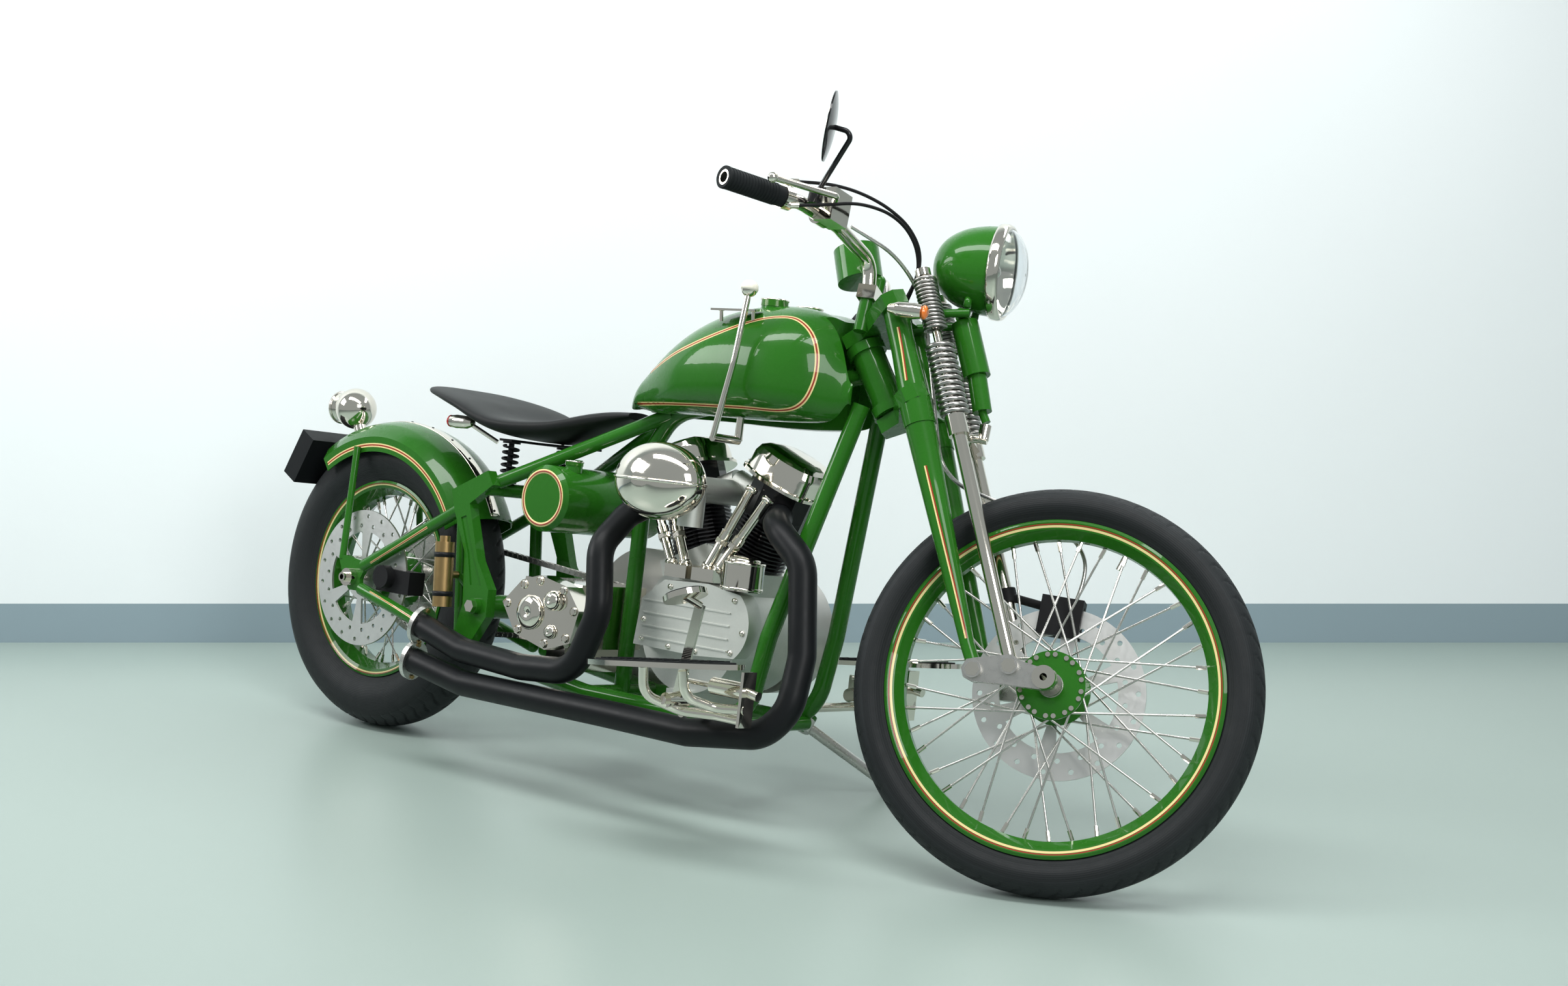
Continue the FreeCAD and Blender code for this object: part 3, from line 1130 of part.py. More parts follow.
def make_chain():
    gap = s.seat_gap * 2
    outer = side_plate(chain_outline(gap + s.chain_height, s.sprocket_radius, s.front_sprocket_radius),
                       s.chain_width, s.chain_y)
    inner = side_plate(chain_outline(gap, s.sprocket_radius, s.front_sprocket_radius),
                       s.chain_width * 2, s.chain_y)
    keep(cut(outer, inner, "drive_chain_body"), "drive_chain", standing)

    inside = s.hub_half_width + s.flange_thickness * 2 + s.seat_gap
    face = s.chain_y - s.sprocket_thickness / 2
    bore = s.axle_radius + s.run_gap
    boss = s.disc_bolt_circle_radius
    points = [(bore, inside), (boss, inside), (boss, face), (s.sprocket_radius, face),
              (s.sprocket_radius, face + s.sprocket_thickness), (bore, face + s.sprocket_thickness)]
    body = turned(points, "rear_sprocket_body")
    body.Placement = Placement(rear_axle, Rotation(x_axis, -90))
    keep(body, "rear_sprocket", standing)


# Controls, stand and small parts on the chassis


def strip(start, end, width, depth):
    """A flat bar between two points, its width across the machine's length."""
    along = end - start
    bar = doc.addObject("Part::Box", unique("strip"))
    bar.Length = width
    bar.Width = depth
    bar.Height = along.Length
    across = y_axis.cross(along).normalize()
    face = along.cross(across).normalize()
    turn_to = Rotation(across, face, along.normalize(), "ZXY")
    bar.Placement = Placement(start, turn_to).multiply(Placement(Vector(-width / 2, -depth / 2, 0), Rotation()))
    return bar


def footboard(side, name):
    """An oval board on two bent tubes, with the foot pedal and its cylinder on a bracket plate."""
    long = s.board_half_length
    wide = s.board_half_width
    half_shares = [(-1, 0, "arc"), (-0.84, 0.66), (-0.5, 1), (0.5, 1), (0.84, 0.66), (1, 0, "arc"),
                   (0.84, -0.66), (0.5, -1), (-0.5, -1), (-0.84, -0.66)]
    points = [(along * long, across * wide) + tuple(rest) for along, across, *rest in half_shares[1:] + half_shares[:1]]
    board = plate(points, "Sizes.board_thickness")
    board.Placement = Placement(Vector(s.board_x, s.board_y * side, s.board_z), Rotation(y_axis, -s.board_tilt_deg))
    rear = tube(spots("board_tube_rear", side), "Sizes.board_tube_radius", s.pedal_radius)
    front = tube(spots("board_tube_front", side), "Sizes.board_tube_radius", s.pedal_radius)
    start = s.down_low_y + s.tube_radius + s.seat_gap
    support = rod(Vector(s.support_x, start * side, s.support_z), Vector(s.support_x, s.support_y * side, s.support_z),
                  "Sizes.board_tube_radius")
    near = (s.bracket_y - s.bracket_half_width) * side
    far = (s.bracket_y + s.bracket_half_width) * side
    thick = s.pedal_arm_thickness
    bracket = block(Vector(s.bracket_x - thick, min(near, far), s.bracket_low_z),
                    Vector(s.bracket_x + s.lap, max(near, far), s.bracket_high_z))
    arm_low, arm_high = spots("pedal_arm", side)
    arm = strip(arm_low, arm_high, s.pedal_arm_width, thick)
    hub_in, hub_out, nut_out = spots("pedal_hub", side)
    pivot = rod(hub_in, hub_out, "Sizes.pedal_hub_radius")
    nut = rod(hub_out - y_axis * side * s.lap, nut_out, "Sizes.strut_radius")
    pad_low, pad_high = spots("pedal_pad", side)
    pad = rod(pad_low, pad_high, "Sizes.pedal_radius")
    rear_end, front_end, cap_end = spots("foot_cylinder", side)
    cylinder = rod(rear_end, front_end, "Sizes.foot_cylinder_radius")
    cap = rod(front_end - x_axis * s.lap, cap_end, "Sizes.board_tube_radius")
    push = rod(Vector(arm_low.x, rear_end.y, rear_end.z), rear_end + x_axis * s.lap, "Sizes.strut_radius * 0.6")
    link = strip(Vector(arm_low.x, rear_end.y, arm_low.z), Vector(arm_low.x, rear_end.y, rear_end.z + thick),
                 s.pedal_arm_width * 0.7, thick)
    things = [board, rear, front, support, bracket, arm, pivot, nut, pad, cylinder, cap, push, link]
    keep(fused_in_turn(things, name + "_body"), name, standing)


def make_side_stand():
    pivot, foot = spots("stand")
    hinge = spots("stand_axis")[0].normalize()
    half = s.axle_radius * 1.3
    leg = rod(pivot, foot, "Sizes.axle_radius")
    boss = rod(pivot - hinge * half, pivot + hinge * half, "Sizes.tube_radius")
    hole = rod(pivot - hinge * half * 2, pivot + hinge * half * 2, "Sizes.axle_bore_radius + Sizes.seat_gap")
    flat = Rotation(x_axis, s.lean_deg).multVec(z_axis)
    base = rod(foot, foot + flat * s.sprocket_thickness, "Sizes.pipe_radius")
    keep(cut(fused([leg, boss, base]), hole, "side_stand_body"), "side_stand", standing)


def make_small_parts():
    low, high, piston_in, piston_out = spots("rear_caliper")
    body = block(low, high)
    half_slot = s.disc_thickness
    slot = rod(rear_axle - y_axis * (s.rear_disc_y + half_slot), rear_axle - y_axis * (s.rear_disc_y - half_slot),
               "Sizes.disc_radius + Sizes.bead_depth * 0.5")
    piston = rod(piston_in, piston_out, "Sizes.cap_radius")
    keep(fused([cut(body, slot), piston], "rear_caliper_body"), "rear_caliper", standing)

    low, high = spots("canister")
    along = (high - low).normalize()
    can = rod(low, high, "Sizes.cap_radius * 0.82")
    neck = rod(high, high + along * s.cap_radius * 0.5, "Sizes.cap_radius * 0.45")
    middle = (low + high) * 0.5
    share = (s.arm_top_z - middle.z) / (s.arm_top_z - s.arm_low_z)
    post_x = s.arm_top_x + (s.arm_low_x - s.arm_top_x) * share
    clasp = Vector(post_x, -s.arm_front_y - s.arm_radius - s.seat_gap * 4, middle.z)
    hold = rod(clasp, Vector(middle.x, middle.y, middle.z), "Sizes.strut_radius")
    keep(fused([can, neck, hold], "brass_canister_body"), "brass_canister", standing)

    things = []
    for side in sides.values():
        tip, knee, foot = spots("rear_indicator", side)
        shell = bullet()
        put(shell, tip, x_axis * -1)
        stalk = rod(knee, foot, "Sizes.strut_radius * 0.6")
        things.append(fused([shell, stalk]))
    keep(group(things, "rear_indicators_body"), "rear_indicators", standing)

    long = s.gate_half_length
    wide = s.gate_half_width
    gate = plate([(-long, -wide), (long * 0.87, -wide), (long * 1.08, 0, "arc"), (long * 0.87, wide), (-long, wide)],
                 "Sizes.gate_thickness")
    gate.Placement = Placement(Vector(s.gate_x, -s.gate_y, s.gate_z), Rotation(x_axis, s.gate_tilt_deg))
    route = spots("shifter")
    lever = tube(route, "Sizes.strut_radius * 0.75", s.cradle_bend)
    knob = ball(route[-1], "Sizes.cap_radius * 0.62")
    pin = rod(route[0], Vector(route[0].x, -s.down_low_y, route[0].z), "Sizes.strut_radius")
    foot = Vector(route[0].x, -s.down_low_y, route[0].z)
    hanger = rod(foot, Vector(foot.x, foot.y, s.tank_bottom_z - s.lap), "Sizes.strut_radius")
    keep(group([gate, fused([lever, knob, pin, hanger])], "hand_shifter_body"), "hand_shifter", standing)


def bullet():
    """A bullet lamp body with its lens, tip at the origin and lens up local Z."""
    r = s.bullet_radius
    long = s.bullet_length
    return turned([(0, 0), (r * 0.5, long * 0.03), (r * 0.92, long * 0.28), (r, long * 0.74),
                   (r * 0.9, long * 0.94), (0, long)])


# Fork, lamp and handlebar


def leg_line(share):
    """The green leg's centre line from its top (0) to its foot (1)."""
    top = on_fork(s.leg_line_top, s.leg_top_ahead)
    foot = on_fork(s.leg_line_top - s.leg_line_length, s.leg_foot_ahead)
    return top + (foot - top) * share


def tree_plate(up, thickness):
    """A yoke plate that joins the steering stem and both green legs, drawn along the stem."""
    at = leg_line((s.leg_line_top - up) / s.leg_line_length)
    ahead = (at - on_fork(up, 0)).dot(steer_ahead)
    boss = s.stem_radius
    clamp = s.leg_mid_radius
    y = s.leg_y
    points = [(-boss, -boss * 0.6), (boss * 0.2, -boss), (ahead - clamp, -y - clamp * 0.4),
              (ahead - clamp * 0.4, -y - clamp), (ahead + clamp * 0.4, -y - clamp), (ahead + clamp, -y - clamp * 0.4),
              (ahead + clamp * 0.5, 0), (ahead + clamp, y + clamp * 0.4),
              (ahead + clamp * 0.4, y + clamp), (ahead - clamp * 0.4, y + clamp), (ahead - clamp, y + clamp * 0.4),
              (boss * 0.2, boss), (-boss, boss * 0.6)]
    tree = plate(points, thickness)
    tree.Placement = Placement(on_fork(up, 0), Rotation(z_axis, steer_up))
    return tree


def make_fork():
    things = []
    for side in sides.values():
        y = s.leg_y * side
        top = leg_line(0) + y_axis * y
        neck = leg_line(0.16) + y_axis * y
        collar = leg_line(0.30) + y_axis * y
        skirt = leg_line(0.38) + y_axis * y
        foot = leg_line(0.985) + y_axis * s.leg_foot_y * side
        things.append(rod(top, neck, "Sizes.leg_top_radius"))
        things.append(taper(neck, collar, "Sizes.leg_top_radius", "Sizes.leg_mid_radius * 0.94"))
        things.append(rod(collar, skirt, "Sizes.leg_mid_radius"))
        things.append(taper(skirt, foot, "Sizes.leg_mid_radius * 0.94", "Sizes.leg_low_radius"))
        eye = rocker_pivot() + y_axis * side * (s.rocker_y - s.rocker_thickness / 2 - s.seat_gap)
        things.append(rod(eye, eye - y_axis * side * s.leg_low_radius * 1.6, "Sizes.leg_low_radius * 1.4"))
        things.append(rod(foot, eye - y_axis * side * s.leg_low_radius * 1.1, "Sizes.leg_low_radius"))
        clamp = spots("handlebar", side)[0]
        base_z = on_fork(s.tree_high + s.tree_thickness * 0.5, 0).z
        things.append(rod(Vector(clamp.x, clamp.y, base_z),
                          Vector(clamp.x, clamp.y, clamp.z - s.bar_radius - s.seat_gap), "Sizes.bar_radius"))
    things.append(tree_plate(s.tree_low, "Sizes.tree_thickness"))
    things.append(tree_plate(s.tree_high, "Sizes.tree_thickness"))
    stem = rod(on_fork(s.tree_low + s.lap, 0), on_fork(s.tree_high + s.lap, 0), "Sizes.backbone_radius - Sizes.seat_gap")
    things.append(stem)
    for side in sides.values():
        start, bend, end = spots("lamp_bracket", side)
        things.append(rod(start, bend, "Sizes.strut_radius"))
        things.append(rod(bend, end, "Sizes.strut_radius"))
        head = spots("damper")[0]
        pin = Vector(head.x, (s.axle_radius + s.seat_gap) * side, head.z)
        things.append(rod(pin, Vector(head.x, end.y, head.z), "Sizes.strut_radius"))
    keep(fused_in_turn(things, "fork_legs_body"), "fork_legs", steered)


def rocker_pivot():
    return front_axle + Vector(-s.rocker_length, 0, -s.rocker_drop)


def spring_pivot():
    return front_axle + Vector(-s.rocker_length * (1 - s.rocker_pivot_share), 0, s.spring_pivot_rise)


def spring_line(up):
    """The chrome leg's centre line at a length above its lower pivot."""
    lean = math.radians(s.spring_lean_deg)
    return spring_pivot() + Vector(-math.sin(lean), 0, math.cos(lean)) * up


def make_spring_fork():
    things = []
    up = s.yoke_up
    leg = s.spring_leg_radius
    rod_r = s.strut_radius
    seat_up = up + leg
    for side in sides.values():
        y = s.spring_leg_y * side
        foot = spring_pivot()
        eye = foot + y_axis * side * (s.rocker_y - s.rocker_thickness / 2 - s.seat_gap)
        things.append(rod(eye, eye - y_axis * side * leg * 1.6, "Sizes.spring_leg_radius * 1.3"))
        things.append(rod(foot + y_axis * y, spring_line(up) + y_axis * y, "Sizes.spring_leg_radius"))
        things.append(rod(spring_line(up - leg * 2) + y_axis * y, spring_line(seat_up) + y_axis * y,
                          "Sizes.spring_leg_radius * 1.5"))
        rod_y = y_axis * (s.spring_leg_y - rod_r) * side
        top = seat_up + s.main_spring_length + s.rebound_spring_length + s.leg_mid_radius
        things.append(rod(spring_line(up) + rod_y, spring_line(top + rod_r) + rod_y, "Sizes.strut_radius"))
        things.append(rod(spring_line(top) + rod_y, spring_line(top + rod_r * 1.8) + rod_y,
                          "Sizes.strut_radius * 1.8"))
    wide = s.spring_leg_y
    bridge = block(Vector(-leg, -wide, -leg * 1.3), Vector(leg, wide, leg * 0.6))
    tilt = Placement(spring_line(up), Rotation(y_axis, -s.spring_lean_deg))
    bridge.Placement = tilt.multiply(bridge.Placement)
    things.append(bridge)
    eye_low = spots("damper")[3]
    lug_top = eye_low - z_axis * (rod_r * 0.56 + s.seat_gap)
    lug_foot = Vector(eye_low.x, 0, spring_line(up).z - leg * 0.3)
    things.append(rod(lug_foot, lug_top, "Sizes.axle_radius"))
    things.append(rod(spring_line(up) - z_axis * leg * 0.3, lug_foot + x_axis * rod_r, "Sizes.strut_radius"))
    keep(fused_in_turn(things, "spring_fork_body"), "spring_fork", steered)

    coils = []
    for side in sides.values():
        rod_y = y_axis * (s.spring_leg_y - rod_r) * side
        second = seat_up + s.main_spring_length + s.leg_mid_radius * 0.9
        for low, high, radius in ((seat_up + s.seat_gap, seat_up + s.main_spring_length, "Sizes.main_spring_radius"),
                                  (second, second + s.rebound_spring_length, "Sizes.rebound_spring_radius")):
            outer = rod(spring_line(low) + rod_y, spring_line(high) + rod_y, radius)
            inner = rod(spring_line(low - s.lap) + rod_y, spring_line(high + s.lap) + rod_y,
                        "Sizes.strut_radius + Sizes.seat_gap")
            coils.append(cut(outer, inner))
    keep(group(coils, "fork_springs_body"), "fork_springs", steered)

    head, waist, foot, eye = spots("damper")
    along = (eye - head).normalize()
    body = [rod(head + along * s.axle_radius, waist, "Sizes.damper_radius"),
            rod(waist, foot, "Sizes.damper_low_radius"),
            rod(foot, eye, "Sizes.strut_radius")]
    body.append(rod(head - y_axis * s.axle_radius, head + y_axis * s.axle_radius, "Sizes.axle_radius * 1.3"))
    keep(fused(body, "fork_damper_body"), "fork_damper", steered)


def make_rockers():
    things = []
    for side in sides.values():
        a = rocker_pivot()
        b = spring_pivot()
        c = front_axle
        h = s.rocker_half
        points = [(a.x - h, a.z), (a.x - h * 0.7, a.z + h * 0.75), (a.x, a.z + h), (b.x, b.z + h),
                  (b.x + h * 0.8, b.z + h * 0.6), (c.x - h * 0.8, c.z + h * 0.85), (c.x, c.z + h),
                  (c.x + h * 0.75, c.z + h * 0.7), (c.x + h, c.z), (c.x + h * 0.7, c.z - h * 0.7),
                  (c.x, c.z - h * 0.95), (b.x, b.z - h * 1.5), (a.x, a.z - h * 0.95),
                  (a.x - h * 0.7, a.z - h * 0.7)]
        arm = side_plate(points, "Sizes.rocker_thickness", s.rocker_y * side)
        out = s.rocker_y + s.rocker_thickness / 2 - s.lap
        bolts = []
        for pin in (a, b):
            far = out + s.axle_radius
            bolts.append(rod(pin + y_axis * side * out, pin + y_axis * side * far, "Sizes.leg_low_radius * 1.2"))
        things.append(fused([arm] + bolts))
    joined = group(things)
    reach = s.rocker_y * 2
    gap = rod(front_axle - y_axis * reach, front_axle + y_axis * reach, "Sizes.axle_radius + Sizes.run_gap")
    keep(cut(joined, gap, "fork_rockers_body"), "fork_rockers", steered)


def make_headlamp():
    centre = Vector(s.headlamp_x, 0, s.headlamp_z)
    radius = s.lamp_shell_radius
    deep = s.headlamp_depth
    points = [(0, 0), (radius * 0.24, 0), (radius * 0.6, deep * 0.16), (radius * 0.86, deep * 0.4),
              (radius * 0.98, deep * 0.72), (radius, deep), (0, deep)]
    shell = turned(points)
    put(shell, centre - x_axis * deep, x_axis)
    rim_ring = turned([(0, 0), (s.rim_radius, 0), (s.rim_radius, s.rim_depth * 0.7),
                       (s.rim_radius * 0.93, s.rim_depth), (0, s.rim_depth)])
    put(rim_ring, centre, x_axis)
    feet = []
    for side in sides.values():
        rest = spots("lamp_bracket", side)[2] - x_axis * s.strut_radius
        low = rest.z + s.strut_radius + s.seat_gap * 2
        feet.append(rod(Vector(rest.x, rest.y, low), Vector(rest.x, rest.y, low + s.leg_mid_radius),
                        "Sizes.strut_radius * 0.9"))
    keep(fused([shell, rim_ring] + feet, "headlamp_body"), "headlamp", steered)
    lens_radius = s.rim_radius * 0.92
    bulge = s.lens_bulge
    lens = turned([(0, 0), (lens_radius, 0), (lens_radius * 0.72, bulge * 0.66, "arc"), (lens_radius * 0.1, bulge), (0, bulge)])
    put(lens, centre + x_axis * (s.rim_depth + s.seat_gap), x_axis)
    keep(fused([lens], "headlamp_lens_body"), "headlamp_lens", steered)


def make_bars():
    things = []
    grips = []
    for side in sides.values():
        route = spots("handlebar", side)
        things.append(tube(route, "Sizes.bar_radius", s.tree_thickness * 2.3))
        end = route[-1]
        along = (route[-2] - end).normalize()
        sleeve = rod(end - along * s.lap, end + along * s.grip_length, "Sizes.grip_radius")
        hole = rod(end - along * s.lap * 2, end + along * (s.grip_length + s.lap),
                   "Sizes.bar_radius + Sizes.seat_gap")
        grips.append(cut(sleeve, hole))
    left = spots("handlebar", 1)[0]
    half = s.bar_radius * 1.3
    things.append(block(Vector(left.x - half, -left.y - half, left.z - s.bar_radius),
                        Vector(left.x + half, left.y + half, left.z + s.bar_radius)))
    bores = []
    for side in sides.values():
        end = spots("handlebar", side)[-1]
        along = (spots("handlebar", side)[-2] - end).normalize()
        bores.append(rod(end - along * s.lap, end + along * s.bar_bore_depth, "Sizes.bar_bore_radius"))
    keep(cut(fused(things), group(bores), "handlebar_body"), "handlebar", steered)
    keep(group(grips, "grips_body"), "grips", steered)

    base, bend, elbow, centre = spots("mirror")
    back = Vector(-0.966, -0.26, 0).normalize()
    wide = s.mirror_radius
    thin = s.strut_radius
    glass = put(turned([(0, 0), (wide, 0), (wide, thin * 0.4), (wide * 0.62, thin * 1.1, "arc"), (wide * 0.2, thin * 1.4),
                        (0, thin * 1.4)]), centre + back * thin * 0.6, back * -1)
    stalk = tube([base, bend, elbow, centre - back * s.strut_radius * 0.5], "Sizes.strut_radius * 0.6", s.cradle_bend)
    clamp = rod(base - z_axis * s.bar_radius * 1.2, base + z_axis * s.bar_radius * 0.7, "Sizes.bar_radius")
    keep(fused([glass, stalk, clamp], "mirror_body"), "mirror", steered)

    hand_controls()
    low, high = spots("shroud")
    seat = Vector(left.x, 0, left.z + s.bar_radius + s.seat_gap)
    top = seat + z_axis * s.lamp_radius * 0.6
    things = [rod(seat, top, "Sizes.bar_radius"), ball(top, "Sizes.bar_radius")]
    things.append(rod(top, low + (high - low) * 0.5, "Sizes.bar_radius"))
    things.append(rod(low, high, "Sizes.lamp_radius * 0.9"))
    keep(fused(things, "instrument_body"), "instrument", steered)

    things = []
    for side in sides.values():
        tip, middle, foot = spots("front_indicator", side)
        shell = bullet()
        put(shell, tip, x_axis)
        stalk = rod(middle, foot, "Sizes.strut_radius * 0.6")
        things.append(fused([shell, stalk]))
    keep(group(things, "front_indicators_body"), "front_indicators", steered)

    low, high, link = spots("front_caliper")
    body = block(low, high)
    half_slot = s.disc_thickness
    slot = rod(front_axle + y_axis * (s.front_disc_y - half_slot), front_axle + y_axis * (s.front_disc_y + half_slot),
               "Sizes.disc_radius + Sizes.bead_depth * 0.5")
    arm = rod(Vector(low.x + s.lap, s.disc_thickness + s.front_disc_y + s.strut_radius, link.z - s.strut_radius),
              link, "Sizes.strut_radius")
    leg_y = y_axis * s.spring_leg_y
    grip_up = (link.z - spring_pivot().z) / math.cos(math.radians(s.spring_lean_deg))
    ring = rod(spring_line(grip_up - s.leg_low_radius) + leg_y, spring_line(grip_up + s.leg_low_radius) + leg_y,
               "Sizes.spring_leg_radius * 1.5")
    bore = rod(spring_line(grip_up - s.leg_mid_radius * 2) + leg_y, spring_line(grip_up + s.leg_mid_radius * 2) + leg_y,
               "Sizes.spring_leg_radius + Sizes.seat_gap")
    keep(cut(fused([cut(body, slot), arm, ring]), bore, "front_caliper_body"), "front_caliper", steered)


def hand_controls():
    """Brake lever, master cylinder and throttle housing on the right bar, with their cords."""
    middle = spots("perch")[0]
    start, stop = spots("handlebar", -1)[2:4]
    along = (stop - start).normalize()
    ahead = z_axis.cross(along).normalize()
    up = along.cross(ahead).normalize()
    body = doc.addObject("Part::Box", unique("perch"))
    body.Length = s.perch_far - s.perch_near
    body.Width = s.perch_along * 2
    body.Height = s.perch_below + s.perch_above
    corner = middle + ahead * s.perch_near + along * s.perch_along - up * s.perch_below
    body.Placement = Placement(corner, Rotation(ahead, along * -1, up, "ZXY"))
    clamp = rod(middle - along * s.perch_along * 0.5, middle + along * s.perch_along * 0.5, "Sizes.grip_radius")
    lever = tube(spots("lever"), "Sizes.lever_radius", s.bar_radius)
    tip = ball(spots("lever")[-1], "Sizes.lever_radius * 1.6")
    end = spots("handlebar", -1)[-1]
    inboard = (stop - end).normalize()
    near = end + inboard * (s.grip_length + s.seat_gap)
    housing = rod(near, near + inboard * s.grip_radius, "Sizes.grip_radius * 1.15")
    things = [body, clamp, lever, tip, housing]
    for route in ("throttle_exit", "throttle_return"):
        things.append(tube(spots(route), "Sizes.lever_radius", s.cable_radius))
    whole = [fused(things[:4]), fused(things[4:])]
    bar_hole = rod(start - along * s.grip_length, stop + along * s.lap, "Sizes.bar_radius + Sizes.seat_gap")
    end_hole = rod(end, stop - inboard * s.lap, "Sizes.bar_radius + Sizes.seat_gap")
    keep(group([cut(whole[0], bar_hole), cut(whole[1], end_hole)], "hand_controls_body"), "hand_controls", steered)
    cords = [cord("cable_one", "Sizes.cable_radius"), cord("cable_two", "Sizes.cable_radius")]
    keep(group(cords, "control_cables_body"), "control_cables", steered)
    hose = cord("brake_hose", "Sizes.hose_radius")
    keep(group([hose], "brake_hose_body"), "brake_hose", steered)


def cord(name, radius):
    """A cord held at both ends, with each arc as large as its runs allow."""
    route = spots(name)
    wire_radii = []
    for before, corner, after in zip(route, route[1:], route[2:]):
        turn_by = math.pi - (before - corner).getAngle(after - corner)
        room = 0.45 * min((before - corner).Length, (after - corner).Length)
        wire_radii.append(room / math.tan(turn_by / 2))
    print("cord", name, "smallest bend", round(min(wire_radii)), "from", [round(r) for r in wire_radii])
    return tube(route, radius, max(wire_radii) * 2)


make_wheels()
make_frame()
make_swingarm()
make_axles()
make_rear_end()
make_saddle()
make_saddle_mount()
make_tanks()
make_engine()
make_driveline()
make_exhaust()
make_chain()
footboard(-1, "right_footboard")
footboard(1, "left_footboard")
make_side_stand()
make_small_parts()
make_fork()
make_spring_fork()
make_rockers()
make_headlamp()
make_bars()
doc.recompute()

for item in doc.Objects:
    if "Invalid" in item.State or "Error" in item.State:
        raise RuntimeError(f"{item.Name} failed: {item.State}")

box = FreeCAD.BoundBox()
for node in nodes:
    if node.Shape.isNull() or not node.Shape.isValid():
        raise RuntimeError(f"{node.Label} is not a valid shape")
    box.add(node.Shape.optimalBoundingBox(False, False))
shift = Vector(-box.Center.x, -box.Center.y, 0)
for node in nodes:
    node.Placement = Placement(shift, Rotation()).multiply(node.Placement)
doc.recompute()
for node in nodes:
    node.Shape.exportStep(f"parts/{node.Label}.step")
    print(node.Label, [round(v) for v in (node.Shape.BoundBox.XMin, node.Shape.BoundBox.XMax,
                                          node.Shape.BoundBox.YMin, node.Shape.BoundBox.YMax,
                                          node.Shape.BoundBox.ZMin, node.Shape.BoundBox.ZMax)],
          len(node.Shape.Solids), round(node.Shape.Volume / 1000))


def told(name, pose, point, direction):
    """Print a joint or mount place in metres in the part's own frame."""
    at = (pose.multVec(point) + shift) * 0.001
    axis = pose.Rotation.multVec(direction)
    print("place", name, [round(v, 6) for v in at], [round(v, 7) for v in axis])


told("steering", standing, steer_foot, steer_up)
told("front_wheel", steered, front_axle, y_axis)
told("rear_wheel", standing, rear_axle, y_axis)
told("side_stand", standing, spots("stand")[0], spots("stand_axis")[0].normalize())
for side_name, side in sides.items():
    bar_end = spots("handlebar", side)[-1]
    outward = (bar_end - spots("handlebar", side)[-2]).normalize()
    told("bar_end_" + side_name, steered, bar_end, outward)
    told("rear_axle_" + side_name, standing, rear_axle + y_axis * s.axle_end_y * side, y_axis * side)
    told("front_axle_" + side_name, steered, front_axle + y_axis * s.front_axle_end_y * side, y_axis * side)
told("upright", standing, Vector(0, 0, 0), z_axis)
told("steered", steered, Vector(0, 0, 0), z_axis)
told("steered_x", steered, Vector(0, 0, 0), x_axis)
told("upright_x", standing, Vector(0, 0, 0), x_axis)
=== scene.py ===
import bmesh
import bpy
import json
import math
from mathutils import Matrix, Vector
from mathutils.bvhtree import BVHTree


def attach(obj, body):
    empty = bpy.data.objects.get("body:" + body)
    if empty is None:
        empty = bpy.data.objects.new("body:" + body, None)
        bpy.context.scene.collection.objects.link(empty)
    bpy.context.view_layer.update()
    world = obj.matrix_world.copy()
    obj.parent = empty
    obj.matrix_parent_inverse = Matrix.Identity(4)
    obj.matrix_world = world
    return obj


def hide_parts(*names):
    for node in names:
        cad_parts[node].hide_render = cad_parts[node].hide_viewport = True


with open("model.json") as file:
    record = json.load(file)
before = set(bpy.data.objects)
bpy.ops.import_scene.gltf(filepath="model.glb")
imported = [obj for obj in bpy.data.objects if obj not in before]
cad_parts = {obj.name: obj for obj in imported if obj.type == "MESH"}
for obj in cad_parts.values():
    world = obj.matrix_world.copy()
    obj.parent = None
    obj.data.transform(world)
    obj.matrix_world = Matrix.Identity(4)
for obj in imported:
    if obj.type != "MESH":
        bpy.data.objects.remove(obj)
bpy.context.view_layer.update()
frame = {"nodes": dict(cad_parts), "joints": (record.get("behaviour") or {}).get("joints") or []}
nodes = frame["nodes"]
joints = {joint["name"]: joint for joint in frame["joints"]}
scene = bpy.context.scene

# Two drawing frames in millimetres: the upright machine, and the fork set straight ahead

machine = {"rakeDeg": 34.0, "rearRadius": 320.653, "wheelbase": 1655.632, "frontRadius": 339.0}
rearSpin, frontSpin = joints["rear_wheel_spin"], joints["front_wheel_spin"]
rearAxle = Vector((0, 0, machine["rearRadius"]))
frontAxle = Vector((machine["wheelbase"], 0, machine["frontRadius"]))
xAxis, yAxis, zAxis = Vector((1, 0, 0)), Vector((0, 1, 0)), Vector((0, 0, 1))


def drawingFrame(joint, centre):
    steer = Vector(joints["steering_turn"]["axis"]).normalized()
    across = Vector(joint["axis"]).normalized()
    over = across.cross(steer)
    rake = math.radians(machine["rakeDeg"])
    ahead = steer * -math.sin(rake) + over * math.cos(rake)
    up = steer * math.cos(rake) + over * math.sin(rake)
    turn = Matrix((ahead, across, up)).transposed().to_4x4()
    start = Vector(joint["pos_m"]) - turn @ (centre * 0.001)
    return Matrix.Translation(start) @ turn @ Matrix.Scale(0.001, 4)


bikeFrame = drawingFrame(rearSpin, rearAxle)
forkFrame = drawingFrame(frontSpin, frontAxle)


def link(name, data):
    made = bpy.data.objects.new(name, data)
    scene.collection.objects.link(made)
    return made


# Camera at the photograph's place and angle

photo = {"width": 2408, "middleRow": 757, "focal": 2819.08, "downDeg": 7.652, "headingDeg": 38.766,
         "spot": (3156.2, -2646.8, 603.2), "sensor": 36.0, "far": 60}
heading = math.radians(photo["headingDeg"])
photoAhead = Vector((-math.sin(heading), math.cos(heading), 0))
photoRight = Vector((math.cos(heading), math.sin(heading), 0))


